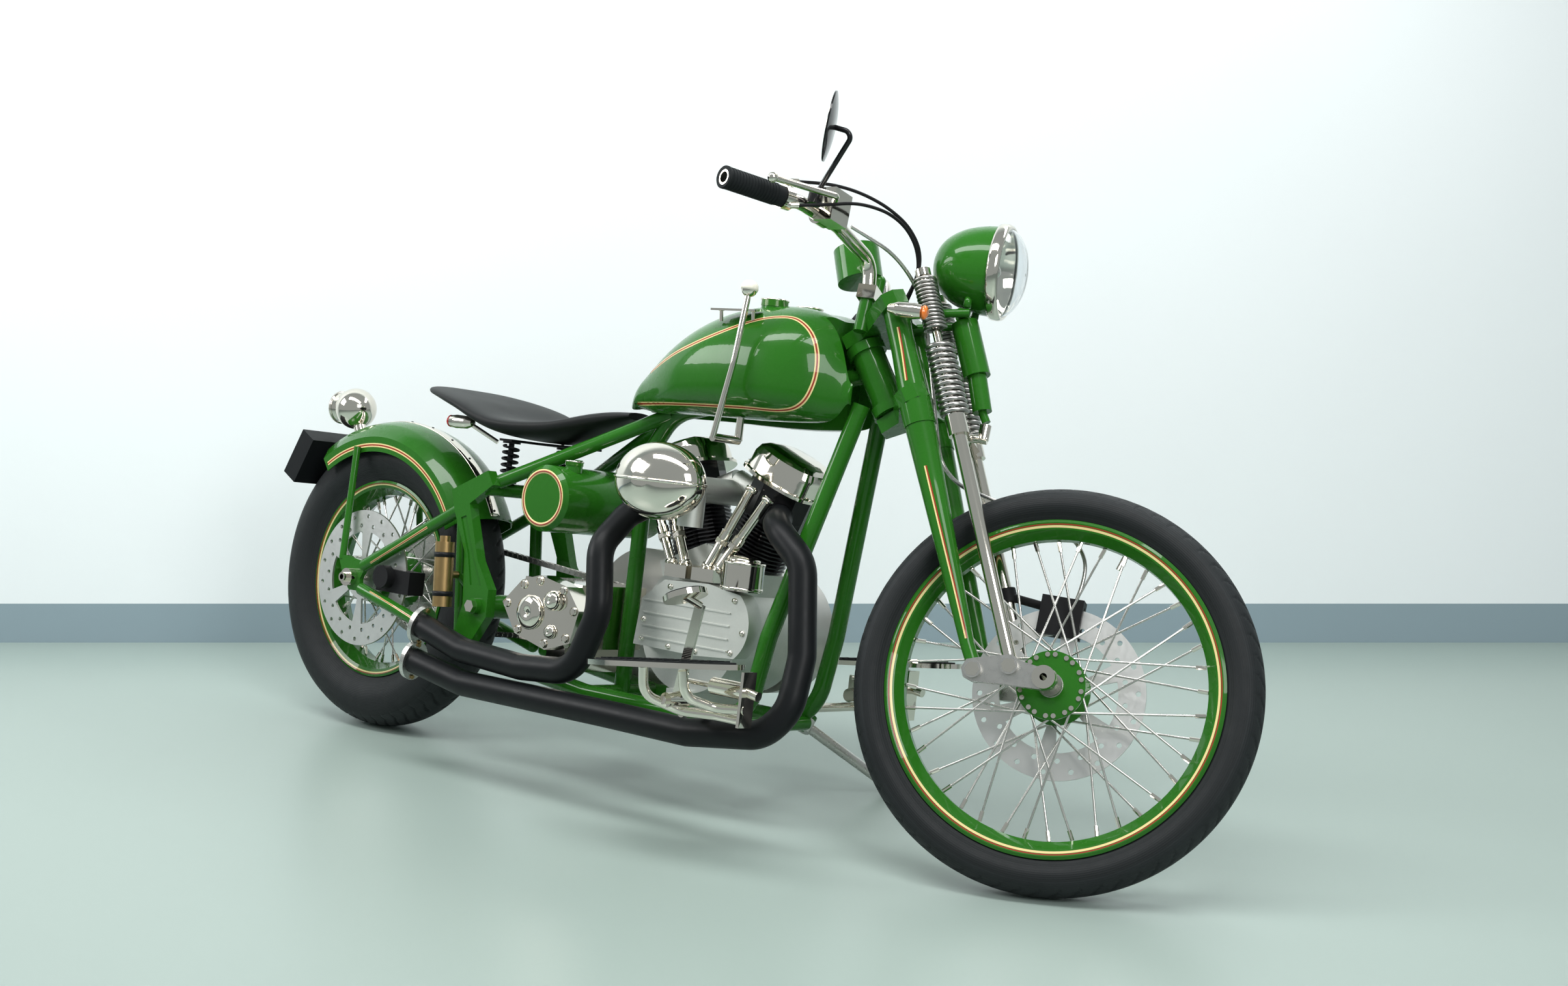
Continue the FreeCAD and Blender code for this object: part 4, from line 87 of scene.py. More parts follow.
def addCamera():
    down = math.radians(photo["downDeg"])
    aim = photoAhead * math.cos(down) - zAxis * math.sin(down)
    data = bpy.data.cameras.new("photoCamera")
    data.sensor_width = photo["sensor"]
    data.lens = photo["focal"] / photo["width"] * photo["sensor"]
    data.clip_end = photo["far"]
    camera = link("photoCamera", data)
    turn = Matrix((photoRight, photoRight.cross(aim), -aim)).transposed().to_4x4()
    camera.matrix_world = Matrix.Translation(bikeFrame @ Vector(photo["spot"])) @ turn
    scene.camera = camera
    return camera.matrix_world.copy()


cameraPlace = addCamera()


def sightLine(across, down):
    # A ray through one point of the photograph, given in its pixels
    aim = Vector((across - photo["width"] / 2, photo["middleRow"] - down, -photo["focal"]))
    return cameraPlace.translation, (cameraPlace.to_3x3() @ aim).normalized()


# Node trees


def feed(tree, target, value):
    value = getattr(value, "socket", value)
    if isinstance(value, bpy.types.NodeSocket):
        tree.links.new(value, target)
    else:
        target.default_value = value


def addNode(tree, kind, settings, inputs, output=0):
    made = tree.nodes.new(kind)
    for name, value in settings.items():
        setattr(made, name, value)
    for name, value in inputs.items():
        feed(tree, made.inputs[name], value)
    return made.outputs[output]


class Wire:
    # A node socket that takes plain arithmetic

    def __init__(self, look, socket):
        self.look = look
        self.socket = socket

    def maths(self, operation, *values):
        return self.look.node("ShaderNodeMath", {"operation": operation}, dict(enumerate(values)))

    def __add__(self, other):
        return self.maths("ADD", self, other)

    def __radd__(self, other):
        return self.maths("ADD", other, self)

    def __sub__(self, other):
        return self.maths("SUBTRACT", self, other)

    def __rsub__(self, other):
        return self.maths("SUBTRACT", other, self)

    def __mul__(self, other):
        return self.maths("MULTIPLY", self, other)

    def __rmul__(self, other):
        return self.maths("MULTIPLY", other, self)

    def __lt__(self, other):
        return self.maths("LESS_THAN", self, other)

    def __gt__(self, other):
        return self.maths("GREATER_THAN", self, other)


class Look:
    # A material built from nodes

    def __init__(self, name, **uniform):
        self.material = bpy.data.materials.new(name)
        self.material.use_nodes = True
        self.tree = self.material.node_tree
        self.shader = self.tree.nodes["Principled BSDF"]
        for socket, value in uniform.items():
            self.set(socket.replace("_", " "), value)

    def set(self, socket, value):
        feed(self.tree, self.shader.inputs[socket], value)

    def node(self, kind, settings=None, inputs=None, output=0):
        return Wire(self, addNode(self.tree, kind, settings or {}, inputs or {}, output))

    def place(self):
        return self.node("ShaderNodeTexCoord", output="Object")

    def noise(self, scale, detail=2.0):
        return self.node("ShaderNodeTexNoise", None, {"Vector": self.place(), "Scale": scale, "Detail": detail})

    def mix(self, factor, first, second):
        return self.node("ShaderNodeMix", {"data_type": "RGBA"}, {0: factor, 6: first, 7: second}, 2)

    def tint(self, colour, spread, scale):
        # A colour that drifts a little over the surface
        dark, light = (tuple(min(1, c * (1 + s)) for c in colour[:3]) + (1,) for s in (-spread, spread))
        return self.mix(self.noise(scale), dark, light)

    def rough(self, base, amount, scale, detail=2.0):
        self.set("Roughness", base + amount * self.noise(scale, detail))

    def bump(self, height, depth, strength):
        self.set("Normal", self.node("ShaderNodeBump", None,
                                     {"Height": height, "Distance": depth, "Strength": strength}))

    def vector(self, operation, *values, output=0):
        return self.node("ShaderNodeVectorMath", {"operation": operation}, dict(enumerate(values)), output)

    def radial(self, joint):
        # Distance from an axle line, and distance along it
        offset = self.vector("SUBTRACT", self.place(), tuple(joint["pos_m"]))
        along = self.vector("DOT_PRODUCT", offset, tuple(joint["axis"]), output="Value")
        length = self.vector("LENGTH", offset, output="Value")
        squared = length * length - along * along
        return squared.maths("SQRT", squared), along


# Materials

paints = {"green": (0.019, 0.126, 0.009, 1), "cream": (0.74, 0.60, 0.28, 1), "red": (0.30, 0.03, 0.02, 1),
          "nickel": (0.76, 0.72, 0.64, 1), "steel": (0.58, 0.57, 0.54, 1), "grey": (0.62, 0.64, 0.60, 1),
          "spring": (0.40, 0.39, 0.37, 1), "disc": (0.72, 0.72, 0.70, 1), "black": (0.010, 0.010, 0.011, 1),
          "satin": (0.007, 0.008, 0.009, 1), "rubber": (0.011, 0.013, 0.014, 1), "brass": (0.40, 0.27, 0.12, 1),
          "leather": (0.008, 0.009, 0.009, 1), "ivory": (0.80, 0.77, 0.66, 1), "amber": (0.85, 0.20, 0.02, 1),
          "ruby": (0.45, 0.01, 0.01, 1), "glass": (0.93, 0.97, 1.0, 1), "clear": (1, 1, 1, 1)}
coat = {"weight": 0.62, "drift": (0.10, 9.0)}


def worn(colour, times):
    return tuple(c * times for c in paints[colour][:3]) + (1,)


def paintLook(name, colour, gloss=0.22):
    look = Look(name, Coat_Weight=coat["weight"], Coat_Roughness=0.03, Coat_IOR=1.40, Specular_IOR_Level=0.08)
    look.set("Base Color", look.tint(paints[colour], *coat["drift"]))
    look.rough(gloss, 0.10, 38.0)
    look.bump(look.noise(160.0, 1.0), 0.0002, 0.10)
    return look


def metalLook(name, colour, rough, grain=60.0, depth=0.0001, spread=0.06):
    look = Look(name, Metallic=1.0)
    look.set("Base Color", look.tint(paints[colour], spread, 14.0))
    look.rough(rough, rough * 0.6, grain, 3.0)
    look.bump(look.noise(grain * 4), depth, 0.2)
    return look.material


def dullLook(name, colour, rough, grain=200.0, depth=0.0003):
    look = Look(name, Specular_IOR_Level=0.16)
    look.set("Base Color", look.tint(paints[colour], 0.15, 12.0))
    look.rough(rough, 0.14, grain * 0.3, 3.0)
    look.bump(look.noise(grain, 4.0), depth, 0.35)
    return look.material


def lensLook(name, colour):
    look = Look(name, IOR=1.5, Coat_Weight=1.0)
    look.set("Base Color", look.tint(paints[colour], 0.2, 60.0))
    look.rough(0.10, 0.05, 90.0)
    look.bump(look.node("ShaderNodeTexWave", None, {"Vector": look.place(), "Scale": 90.0}), 0.0008, 0.5)
    return look.material


rimBands = {"across": 0.80, "lines": ((0.952, 0.965), (0.968, 0.975))}


def rimLook(name, joint, radius, half):
    # Green rim sides with a cream and a red line
    look = paintLook(name, "green")
    out, along = look.radial(joint)
    outer = along.maths("ABSOLUTE", along) > half * rimBands["across"]
    bands = [(out > radius * low) * (out < radius * high) * outer for low, high in rimBands["lines"]]
    base = look.mix(bands[0], look.tint(paints["green"], *coat["drift"]), paints["cream"])
    look.set("Base Color", look.mix(bands[1], base, paints["red"]))
    return look.material


def hubLook(name, joint, flange):
    # A green hub with bright spokes
    look = paintLook(name, "green")
    out, along = look.radial(joint)
    metal = along.maths("MAXIMUM", out > flange, out < flange * 0.36)
    look.set("Base Color", look.mix(metal, look.tint(paints["green"], *coat["drift"]), paints["steel"]))
    look.set("Metallic", metal * 1.0)
    look.set("Coat Weight", coat["weight"] - coat["weight"] * metal)
    return look.material


def rubberLook(name, joint, radius):
    # Tyre rubber with moulded rings and dust on the tread
    look = Look(name, Specular_IOR_Level=0.25)
    out, along = look.radial(joint)
    dust = (out > radius * 0.93) * look.noise(22.0, 4.0) * 0.8
    look.set("Base Color", look.mix(dust, paints["rubber"], worn("rubber", 1.9)))
    look.rough(0.52, 0.20, 50.0, 3.0)
    look.bump(out.maths("SINE", out * 1900.0) * 0.5 + look.noise(420.0, 3.0), 0.0003, 0.5)
    return look.material


def leatherLook():
    look = Look("blackLeather", Specular_IOR_Level=0.22)
    pores = look.node("ShaderNodeTexVoronoi", {"feature": "DISTANCE_TO_EDGE"},
                      {"Vector": look.place(), "Scale": 420.0})
    wear = look.noise(7.0, 4.0)
    look.set("Base Color", look.mix(wear * 0.6, paints["leather"], worn("leather", 1.6)))
    look.set("Roughness", 0.40 + 0.20 * wear)
    look.bump(pores + 0.5 * look.noise(60.0, 4.0), 0.0007, 0.45)
    return look.material


def glassLook():
    look = Look("lampGlass", Transmission_Weight=1.0, IOR=1.45)
    look.set("Base Color", look.mix(look.noise(4.0), paints["glass"], paints["clear"]))
    look.rough(0.03, 0.02, 30.0)
    return look.material


greenPaint = paintLook("greenPaint", "green").material
creamPaint = paintLook("creamPaint", "cream", 0.3).material
redPaint = paintLook("redPaint", "red", 0.3).material
blackEnamel = paintLook("blackEnamel", "black", 0.2).material
ivoryKnob = paintLook("ivoryKnob", "ivory", 0.2).material
nickelPlate = metalLook("nickelPlate", "nickel", 0.06)
brushedSteel = metalLook("brushedSteel", "steel", 0.22, 120.0)
springSteel = metalLook("springSteel", "spring", 0.22)
agedBrass = metalLook("agedBrass", "brass", 0.28, 80.0, 0.0002, 0.25)
satinBlack = dullLook("satinBlack", "satin", 0.34, 160.0, 0.0001)
blackPlastic = dullLook("blackPlastic", "black", 0.45)
gripRubber = dullLook("gripRubber", "rubber", 0.6, 300.0)
blackLeather = leatherLook()
lampGlass = glassLook()
amberLens, rubyLens = lensLook("amberLens", "amber"), lensLook("rubyLens", "ruby")


def give(material, *names):
    for name in names:
        materials = nodes[name].data.materials
        materials.clear()
        materials.append(material)


give(greenPaint, "frame", "swingarm", "rear_fender", "fuel_tank", "oil_tank", "fork_legs", "headlamp",
     "instrument", "fork_damper")
give(nickelPlate, "rear_axle", "tail_lamp", "rocker_covers", "pushrod_tubes", "air_cleaner", "right_footboard",
     "left_footboard", "rear_indicators", "spring_fork", "front_axle", "handlebar", "front_indicators",
     "hand_shifter", "gearbox", "fork_springs", "hand_controls")
give(metalLook("discSteel", "disc", 0.32, 160.0), "rear_disc", "front_disc")
give(brushedSteel, "rear_sprocket", "drive_chain", "fork_rockers", "side_stand")
give(metalLook("castAlloy", "grey", 0.42, 240.0, 0.0003, 0.1), "crankcase", "cam_cover", "carburettor")
give(metalLook("polishedAlloy", "steel", 0.30, 90.0, 0.0002, 0.08), "primary_cover")
give(blackEnamel, "cylinders", "mirror")
give(satinBlack, "exhaust_pipes", "plate_box", "saddle_mount")
give(blackPlastic, "rear_caliper", "front_caliper")
give(gripRubber, "grips")
give(agedBrass, "brass_canister")
give(lampGlass, "headlamp_lens")
give(rimLook("rearRimPaint", rearSpin, 0.2136, 0.045), "rear_rim")
give(rimLook("frontRimPaint", frontSpin, 0.2805, 0.031), "front_rim")
give(hubLook("rearHubPaint", rearSpin, 0.0625), "rear_hub")
give(hubLook("frontHubPaint", frontSpin, 0.0575), "front_hub")
print("materials ready")

# Smooth shading over the solids' loose triangles, with real edges kept sharp

shading = {"weld": 0.00001, "splitDeg": 28.0}
for solid in nodes.values():
    solid.data.polygons.foreach_set("use_smooth", [True] * len(solid.data.polygons))
    if solid.data.has_custom_normals:
        solid.data.attributes.remove(solid.data.attributes["custom_normal"])
    solid.modifiers.new("weld", "WELD").merge_threshold = shading["weld"]
    solid.modifiers.new("split", "EDGE_SPLIT").split_angle = math.radians(shading["splitDeg"])

# Helpers that make meshes: points and sizes are in millimetres of a drawing frame


def treeOf(name):
    mesh = nodes[name].data
    points = [vertex.co.copy() for vertex in mesh.vertices]
    return BVHTree.FromPolygons(points, [tuple(face.vertices) for face in mesh.polygons])


def lerp(first, second, share):
    return first + (second - first) * share


def mirrored(spot, side):
    return Vector((spot[0], spot[1] * side, spot[2]))


def circle(steps, power=1.0):
    # The (cosine, sine) pairs of a turn, or of a rounder square with a power below one
    made = []
    for index in range(steps):
        angle = 2 * math.pi * index / steps
        made.append(tuple(math.copysign(abs(v) ** power, v) for v in (math.cos(angle), math.sin(angle))))
    return made


def skin(rows, count, closedRows=True, closedCount=True):
    # Quads over a grid of points, row after row
    faces = []
    for row in range(rows if closedRows else rows - 1):
        follow = (row + 1) % rows * count
        for index in range(count if closedCount else count - 1):
            above = (index + 1) % count
            faces.append((row * count + index, follow + index, follow + above, row * count + above))
    return faces


def caps(rows, count):
    return [tuple(range(count)), tuple((rows - 1) * count + index for index in reversed(range(count)))]


def addMesh(points, faces, material, smooth=True):
    mesh = bpy.data.meshes.new("piece")
    mesh.from_pydata([tuple(point) for point in points], [], faces)
    mesh.materials.append(material)
    mesh.polygons.foreach_set("use_smooth", [smooth] * len(mesh.polygons))
    mesh.update()
    return link("piece", mesh)


def solidMesh(points, faces, material, smooth=True):
    # A closed mesh with its normals turned outward
    piece = addMesh(points, faces, material, smooth)
    work = bmesh.new()
    work.from_mesh(piece.data)
    bmesh.ops.remove_doubles(work, verts=work.verts, dist=0.00002)
    bmesh.ops.recalc_face_normals(work, faces=work.faces)
    work.to_mesh(piece.data)
    work.free()
    return piece


def axisPlace(place, centre, direction):
    # Local Z along a direction of a drawing frame
    turn = zAxis.rotation_difference(Vector(direction).normalized()).to_matrix().to_4x4()
    return place @ Matrix.Translation(Vector(centre)) @ turn


def lathe(profile, centre, direction, steps=48, material=nickelPlate, place=bikeFrame):
    # Turn (radius, height) points about an axis
    where = axisPlace(place, centre, direction)
    points = [where @ Vector((radius * cos, radius * sin, height))
              for cos, sin in circle(steps) for radius, height in profile]
    return solidMesh(points, skin(steps, len(profile)), material)


def domed(radius, high, shares, top=1.0):
    # A low dome's outline from its (radius, height) shares
    return ([(0.1, -1.0), (radius, -1.0)] + [(radius * out, high * up) for out, up in shares]
            + [(0.1, high * top)])


def ride(piece, body, slot, *replaced):
    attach(piece, body)
    if replaced:
        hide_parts(*replaced)


def settle(name, pieces, body, slot, *replaced):
    # One riding object made of one or several pieces
    if len(pieces) == 1:
        pieces[0].name = pieces[0].data.name = name
        ride(pieces[0], body, slot, *replaced)
        return
    work = bmesh.new()
    materials = []
    for piece in pieces:
        start = len(work.faces)
        work.from_mesh(piece.data)
        work.faces.ensure_lookup_table()
        for face in work.faces[start:]:
            material = piece.data.materials[face.material_index]
            if material not in materials:
                materials.append(material)
            face.material_index = materials.index(material)
        bpy.data.objects.remove(piece)
    mesh = bpy.data.meshes.new(name)
    work.to_mesh(mesh)
    work.free()
    for material in materials:
        mesh.materials.append(material)
    ride(link(name, mesh), body, slot, *replaced)


class Growth:
    # A Geometry Nodes tree with named inputs

    def __init__(self, name, **kinds):
        self.tree = bpy.data.node_groups.new(name, "GeometryNodeTree")
        face = self.tree.interface
        self.keys = {}
        for label, kind in {"Geometry": "Geometry", **kinds, "Material": "Material"}.items():
            made = face.new_socket(label, in_out="INPUT", socket_type="NodeSocket" + kind)
            self.keys[label] = made.identifier
        face.new_socket("Geometry", in_out="OUTPUT", socket_type="NodeSocketGeometry")
        self.given = self.tree.nodes.new("NodeGroupInput").outputs
        self.end = self.tree.nodes.new("NodeGroupOutput")

    def add(self, kind, **inputs):
        named = {name.replace("_", " "): value for name, value in inputs.items()}
        return addNode(self.tree, "GeometryNode" + kind, {}, named)

    def close(self, geometry):
        real = self.add("RealizeInstances", Geometry=geometry)
        coated = self.add("SetMaterial", Geometry=real, Material=self.given["Material"])
        feed(self.tree, self.end.inputs[0], coated)
        return self

    def tube(self, path, sides, radius):
        # A capped round bar along a curve
        ring = self.add("CurvePrimitiveCircle", Resolution=sides, Radius=radius)
        return self.close(self.add("CurveToMesh", Curve=path, Profile_Curve=ring, Fill_Caps=True))

    def onPoints(self, shape, axis):
        # The shape on each point, with one axis along the point's own aim
        kind = {"data_type": "FLOAT_VECTOR"}
        aim = addNode(self.tree, "GeometryNodeInputNamedAttribute", kind, {"Name": "aim"})
        turn = addNode(self.tree, "FunctionNodeAlignRotationToVector", {"axis": axis}, {"Vector": aim})
        return self.close(self.add("InstanceOnPoints", Points=self.given["Geometry"], Instance=shape,
                                   Rotation=turn))

    def grow(self, seed, place, smooth, **values):
        # Run the tree on a seed mesh and return a plain mesh object
        holder = link("seed", seed)
        modifier = holder.modifiers.new("growth", "NODES")
        modifier.node_group = self.tree
        for label, value in values.items():
            modifier[self.keys[label]] = value
        graph = bpy.context.evaluated_depsgraph_get()
        mesh = bpy.data.meshes.new_from_object(holder.evaluated_get(graph), depsgraph=graph)
        bpy.data.objects.remove(holder)
        mesh.transform(place)
        mesh.polygons.foreach_set("use_smooth", [smooth] * len(mesh.polygons))
        return link("piece", mesh)


def coilGrowth():
    tree = Growth("coilGrowth", Turns="Float", Radius="Float", Height="Float", Wire="Float")
    given = tree.given
    path = tree.add("CurveSpiral", Resolution=24, Rotations=given["Turns"], Start_Radius=given["Radius"],
                    End_Radius=given["Radius"], Height=given["Height"])
    return tree.tube(path, 10, given["Wire"])


def studGrowth():
    # Prisms stood on points
    tree = Growth("studGrowth", Sides="Int", Radius="Float", Height="Float")
    given = tree.given
    return tree.onPoints(tree.add("MeshCylinder", Vertices=given["Sides"], Radius=given["Radius"],
                                  Depth=given["Height"]), "Z")


def barGrowth():
    # Small boxes stood on points
    tree = Growth("barGrowth", Size="Vector")
    return tree.onPoints(tree.add("MeshCube", Size=tree.given["Size"]), "X")


def pipeGrowth():
    # A round bar along the edges of the seed mesh
    tree = Growth("pipeGrowth", Radius="Float")
    return tree.tube(tree.add("MeshToCurve", Mesh=tree.given["Geometry"]), 14, tree.given["Radius"])


def chainGrowth():
    # One roller and its two plates on each point of the seed
    tree = Growth("chainGrowth", Roller="Float", Span="Float", Plate="Vector", Near="Vector", Far="Vector")
    given = tree.given
    roller = tree.add("MeshCylinder", Vertices=12, Radius=given["Roller"], Depth=given["Span"])
    plate = tree.add("MeshCube", Size=given["Plate"])
    laid = tree.add("Transform", Geometry=roller, Rotation=(math.pi / 2, 0, 0))
    whole = tree.add("JoinGeometry", Geometry=laid)
    for shift in ("Near", "Far"):
        moved = tree.add("Transform", Geometry=plate, Translation=given[shift])
        feed(tree.tree, whole.node.inputs["Geometry"], moved)
    return tree.onPoints(whole, "X")


coilTree, studTree, barTree, pipeTree, chainTree = (
    coilGrowth(), studGrowth(), barGrowth(), pipeGrowth(), chainGrowth())


def coil(low, high, radius, wire, turns, material, place):
    # A closed-wound spring between two points
    along = high - low
    where = axisPlace(place, low, along) @ Matrix.Translation((0, 0, wire))
    return coilTree.grow(bpy.data.meshes.new("seed"), where, True, Turns=turns, Radius=radius - wire,
                         Height=along.length - wire * 2, Wire=wire, Material=material)


def aimedSeed(rows):
    # Loose points with their aims, from (point, direction) rows
    seed = bpy.data.meshes.new("seed")
    seed.from_pydata([tuple(row[0]) for row in rows], [], [])
    aims = seed.attributes.new("aim", "FLOAT_VECTOR", "POINT")
    aims.data.foreach_set("vector", [value for row in rows for value in row[1]])
    return seed


def bar(point, aim, size, material, place):
    return barTree.grow(aimedSeed([(point, aim)]), place, False, Size=size, Material=material)


def pipe(points, radius, closed=False):
    # A round bright bar through points
    count = len(points)
    seed = bpy.data.meshes.new("seed")
    edges = [(index, (index + 1) % count) for index in range(count if closed else count - 1)]
    seed.from_pydata([tuple(point) for point in points], edges, [])
    return pipeTree.grow(seed, bikeFrame, True, Radius=radius, Material=nickelPlate)


def studs(rows, radius, height, sides=6, smooth=False, material=nickelPlate, place=bikeFrame):
    # Studs at (point, direction) rows
    return studTree.grow(aimedSeed(rows), place, smooth, Sides=sides, Radius=radius, Height=height,
                         Material=material)


def spline(a, b, c, d, t):
    return 0.5 * (2 * b + (c - a) * t + (2 * a - 5 * b + 4 * c - d) * t * t + (3 * b - a - 3 * c + d) * t ** 3)


def smoothRun(points, steps, closed=False):
    points = [Vector(point) for point in points]
    count = len(points)
    made = []
    for index in range(count if closed else count - 1):
        four = [points[k % count if closed else min(max(k, 0), count - 1)] for k in range(index - 1, index + 3)]
        made += [spline(*four, step / steps) for step in range(steps)]
    return made if closed else made + [points[-1]]


# Tyres with cut tread

tyreSizes = {
    "rear": {"radius": 320.6, "half": 65.0, "rim": 213.6, "rimHalf": 45.0, "crown": 78.0, "cuts": 60,
             "depth": 3.2, "flange": 62.0, "joint": rearSpin, "place": bikeFrame, "centre": rearAxle},
    "front": {"radius": 339.0, "half": 44.0, "rim": 280.5, "rimHalf": 31.0, "crown": 50.0, "cuts": 64,
              "depth": 2.6, "flange": 57.0, "joint": frontSpin, "place": forkFrame, "centre": frontAxle}}
treadSizes = {"bead": 11.0, "seat": 1.2, "wall": 5.3, "shoulder": 0.62, "side": 0.52, "arc": 18, "steps": 900,
              "near": 0.14, "far": 0.80, "nearRun": 0.1, "farRun": 0.08, "bend": (1.05, 0.7), "other": 0.5,
              "width": (0.16, 0.06, 9)}


def tyreProfile(size):
    # (radius, across) points over one section, bead to bead
    tread = treadSizes
    rim, half, crown = size["rim"], size["half"], size["crown"]
    seat = size["rimHalf"] - tread["wall"]
    edge = half * tread["shoulder"]
    shoulder = size["radius"] - crown + math.sqrt(crown ** 2 - edge ** 2)
    bulge = lerp(rim, shoulder, tread["side"])
    side = [(rim - tread["bead"], seat), (rim + tread["seat"], seat)]
    side += [(lerp(rim, bulge, up), lerp(seat, half, out)) for up, out in ((0.35, 0.62), (0.75, 0.94), (1, 1))]
    side += [(lerp(bulge, shoulder, up), lerp(half, edge, out)) for up, out in ((0.5, 0.2), (0.8, 0.5))]
    arc = []
    for index in range(tread["arc"] + 1):
        across = edge * (1 - 2 * index / tread["arc"])
        arc.append((size["radius"] - crown + math.sqrt(crown ** 2 - across ** 2), across))
    return side + arc + [(radius, -across) for radius, across in reversed(side)]


def treadDepth(size, angle, across):
    # How deep the rubber is cut at one place of the tread: curved slashes on both shoulders
    tread = treadSizes
    reach = abs(across) / size["half"]
    if reach < tread["near"] or reach > tread["far"]:
        return 0.0
    bend = tread["bend"][0] * reach + tread["bend"][1] * reach * reach
    phase = (angle * size["cuts"] / (2 * math.pi) + (tread["other"] if across > 0 else 0.0) + bend) % 1.0
    base, swing, waves = tread["width"]
    if abs(phase - 0.5) >= (base + swing * math.sin(waves * reach)) / 2:
        return 0.0
    ends = min(1.0, (reach - tread["near"]) / tread["nearRun"], (tread["far"] - reach) / tread["farRun"])
    return size["depth"] * ends


def addTyre(key):
    size = tyreSizes[key]
    profile = tyreProfile(size)
    steps = treadSizes["steps"]
    where = axisPlace(size["place"], size["centre"], yAxis)
    points = []
    for index, (cos, sin) in enumerate(circle(steps)):
        for radius, across in profile:
            if radius > size["radius"] * 0.9:
                radius -= treadDepth(size, 2 * math.pi * index / steps, across)
            points.append(where @ Vector((radius * cos, radius * sin, across)))
    look = rubberLook(key + "TyreRubber", size["joint"], size["radius"] / 1000)
    piece = solidMesh(points, skin(steps, len(profile)), look)
    settle(key + "TyreTread", [piece], key + "_wheel", "tyre", key + "_tyre")


for wheel in tyreSizes:
    addTyre(wheel)
print("tyres ready")

# Spoke nipples, spoke heads and valves

spokeSizes = {"count": 40, "hole": 6.0, "nippleRadius": 3.6, "nippleLength": 17.0, "headRadius": 4.2,
              "headHigh": 3.0, "leanDeg": 52.0, "flangeAcross": 36.0, "hubAcross": 33.5, "rimAcross": 4,
              "rimIn": 31, "valveAim": (0.3, 0, 0.954), "valveIn": 44, "valveRadius": 4.0, "valveLength": 24.0}


def addSpokeEnds(key):
    size = spokeSizes
    place, centre, rim = (tyreSizes[key][name] for name in ("place", "centre", "rim"))
    hole = tyreSizes[key]["flange"] - size["hole"]
    nipples, heads = [], []
    for index in range(size["count"]):
        side = 1 if index % 2 else -1
        angle = math.radians(index * 360 / size["count"])
        root = angle + math.radians(size["leanDeg"] if index % 4 < 2 else -size["leanDeg"])
        inner = Vector((math.cos(root) * hole, side * size["hubAcross"], -math.sin(root) * hole))
        reach = rim - size["rimIn"]
        outer = Vector((math.cos(angle) * reach, side * size["rimAcross"], -math.sin(angle) * reach))
        along = (outer - inner).normalized()
        nipples.append((centre + outer - along * size["nippleLength"] * 0.5, along))
        heads.append((centre + Vector((inner.x, side * size["flangeAcross"], inner.z)), yAxis * side))
    stem = Vector(size["valveAim"])
    valve = [(centre + stem * (rim - size["valveIn"]), stem)]
    for label, rows, radius, height, sides in (
            ("SpokeNipples", nipples, size["nippleRadius"], size["nippleLength"], 8),
            ("SpokeHeads", heads, size["headRadius"], size["headHigh"], 10),
            ("TyreValve", valve, size["valveRadius"], size["valveLength"], 12)):
        settle(key + label, [studs(rows, radius, height, sides, place=place)], key + "_wheel", "chrome")


for wheel in tyreSizes:
    addSpokeEnds(wheel)
print("spoke ends ready")

# Coil springs of the fork, as (length, radius, wire, turns) along the spring fork's rods

springSizes = {"leanDeg": 23.9, "foot": (-59.67, 0, 9.0), "rodAcross": 68.5, "seatUp": 447.0, "gap": 25.2,
               "main": (137.0, 26.0, 4.2, 12.5), "rebound": (102.0, 21.0, 3.0, 13.5)}


def addForkSprings():
    lean = math.radians(springSizes["leanDeg"])
    up = Vector((-math.sin(lean), 0, math.cos(lean)))
    seat = springSizes["seatUp"]
    second = seat + springSizes["main"][0] + springSizes["gap"]
    pieces = []
    for side in (1, -1):
        foot = frontAxle + Vector(springSizes["foot"]) + yAxis * springSizes["rodAcross"] * side
        for start, (length, *rest) in ((seat, springSizes["main"]), (second, springSizes["rebound"])):
            pieces.append(coil(foot + up * start, foot + up * (start + length), *rest, springSteel, forkFrame))
    settle("forkCoilSprings", pieces, "steering", "chrome", "fork_springs")


addForkSprings()
print("springs ready")

# Leather saddle

saddleSizes = {"rearX": 150.0, "length": 530.0, "half": 165.0, "nose": 52.0, "rearZ": 742.0, "lowZ": 676.0,
               "noseZ": 722.0, "thick": 23.0, "rows": 56, "around": 40, "dish": 0.45, "square": 0.8}


def saddleStations():
    # Share of the length, share of the half width, middle height, share of the thickness
    size = saddleSizes
    nose, thick = size["nose"] / size["half"], size["thick"]
    rear, low, front = size["rearZ"], size["lowZ"], size["noseZ"]
    return [(0.0, 0.35, rear, 0.30), (0.10, 0.80, rear - thick * 0.3, 0.62),
            (0.30, 1.0, low + thick * 1.6, 0.85), (0.50, 0.95, low + thick * 0.1, 1.0),
            (0.68, 0.66, low + thick * 0.2, 0.95), (0.86, nose * 1.05, front - thick * 0.6, 0.7),
            (1.0, nose * 0.6, front, 0.32)]


def between(rows, place):
    # Station values interpolated smoothly at one place along the saddle
    last = len(rows) - 1
    index = next((k for k in range(last - 1) if place <= rows[k + 1][0]), last - 1)
    four = [rows[min(max(k, 0), last)] for k in range(index - 1, index + 3)]
    share = (place - four[1][0]) / (four[2][0] - four[1][0])
    return [spline(*values, share) for values in list(zip(*four))[1:]]


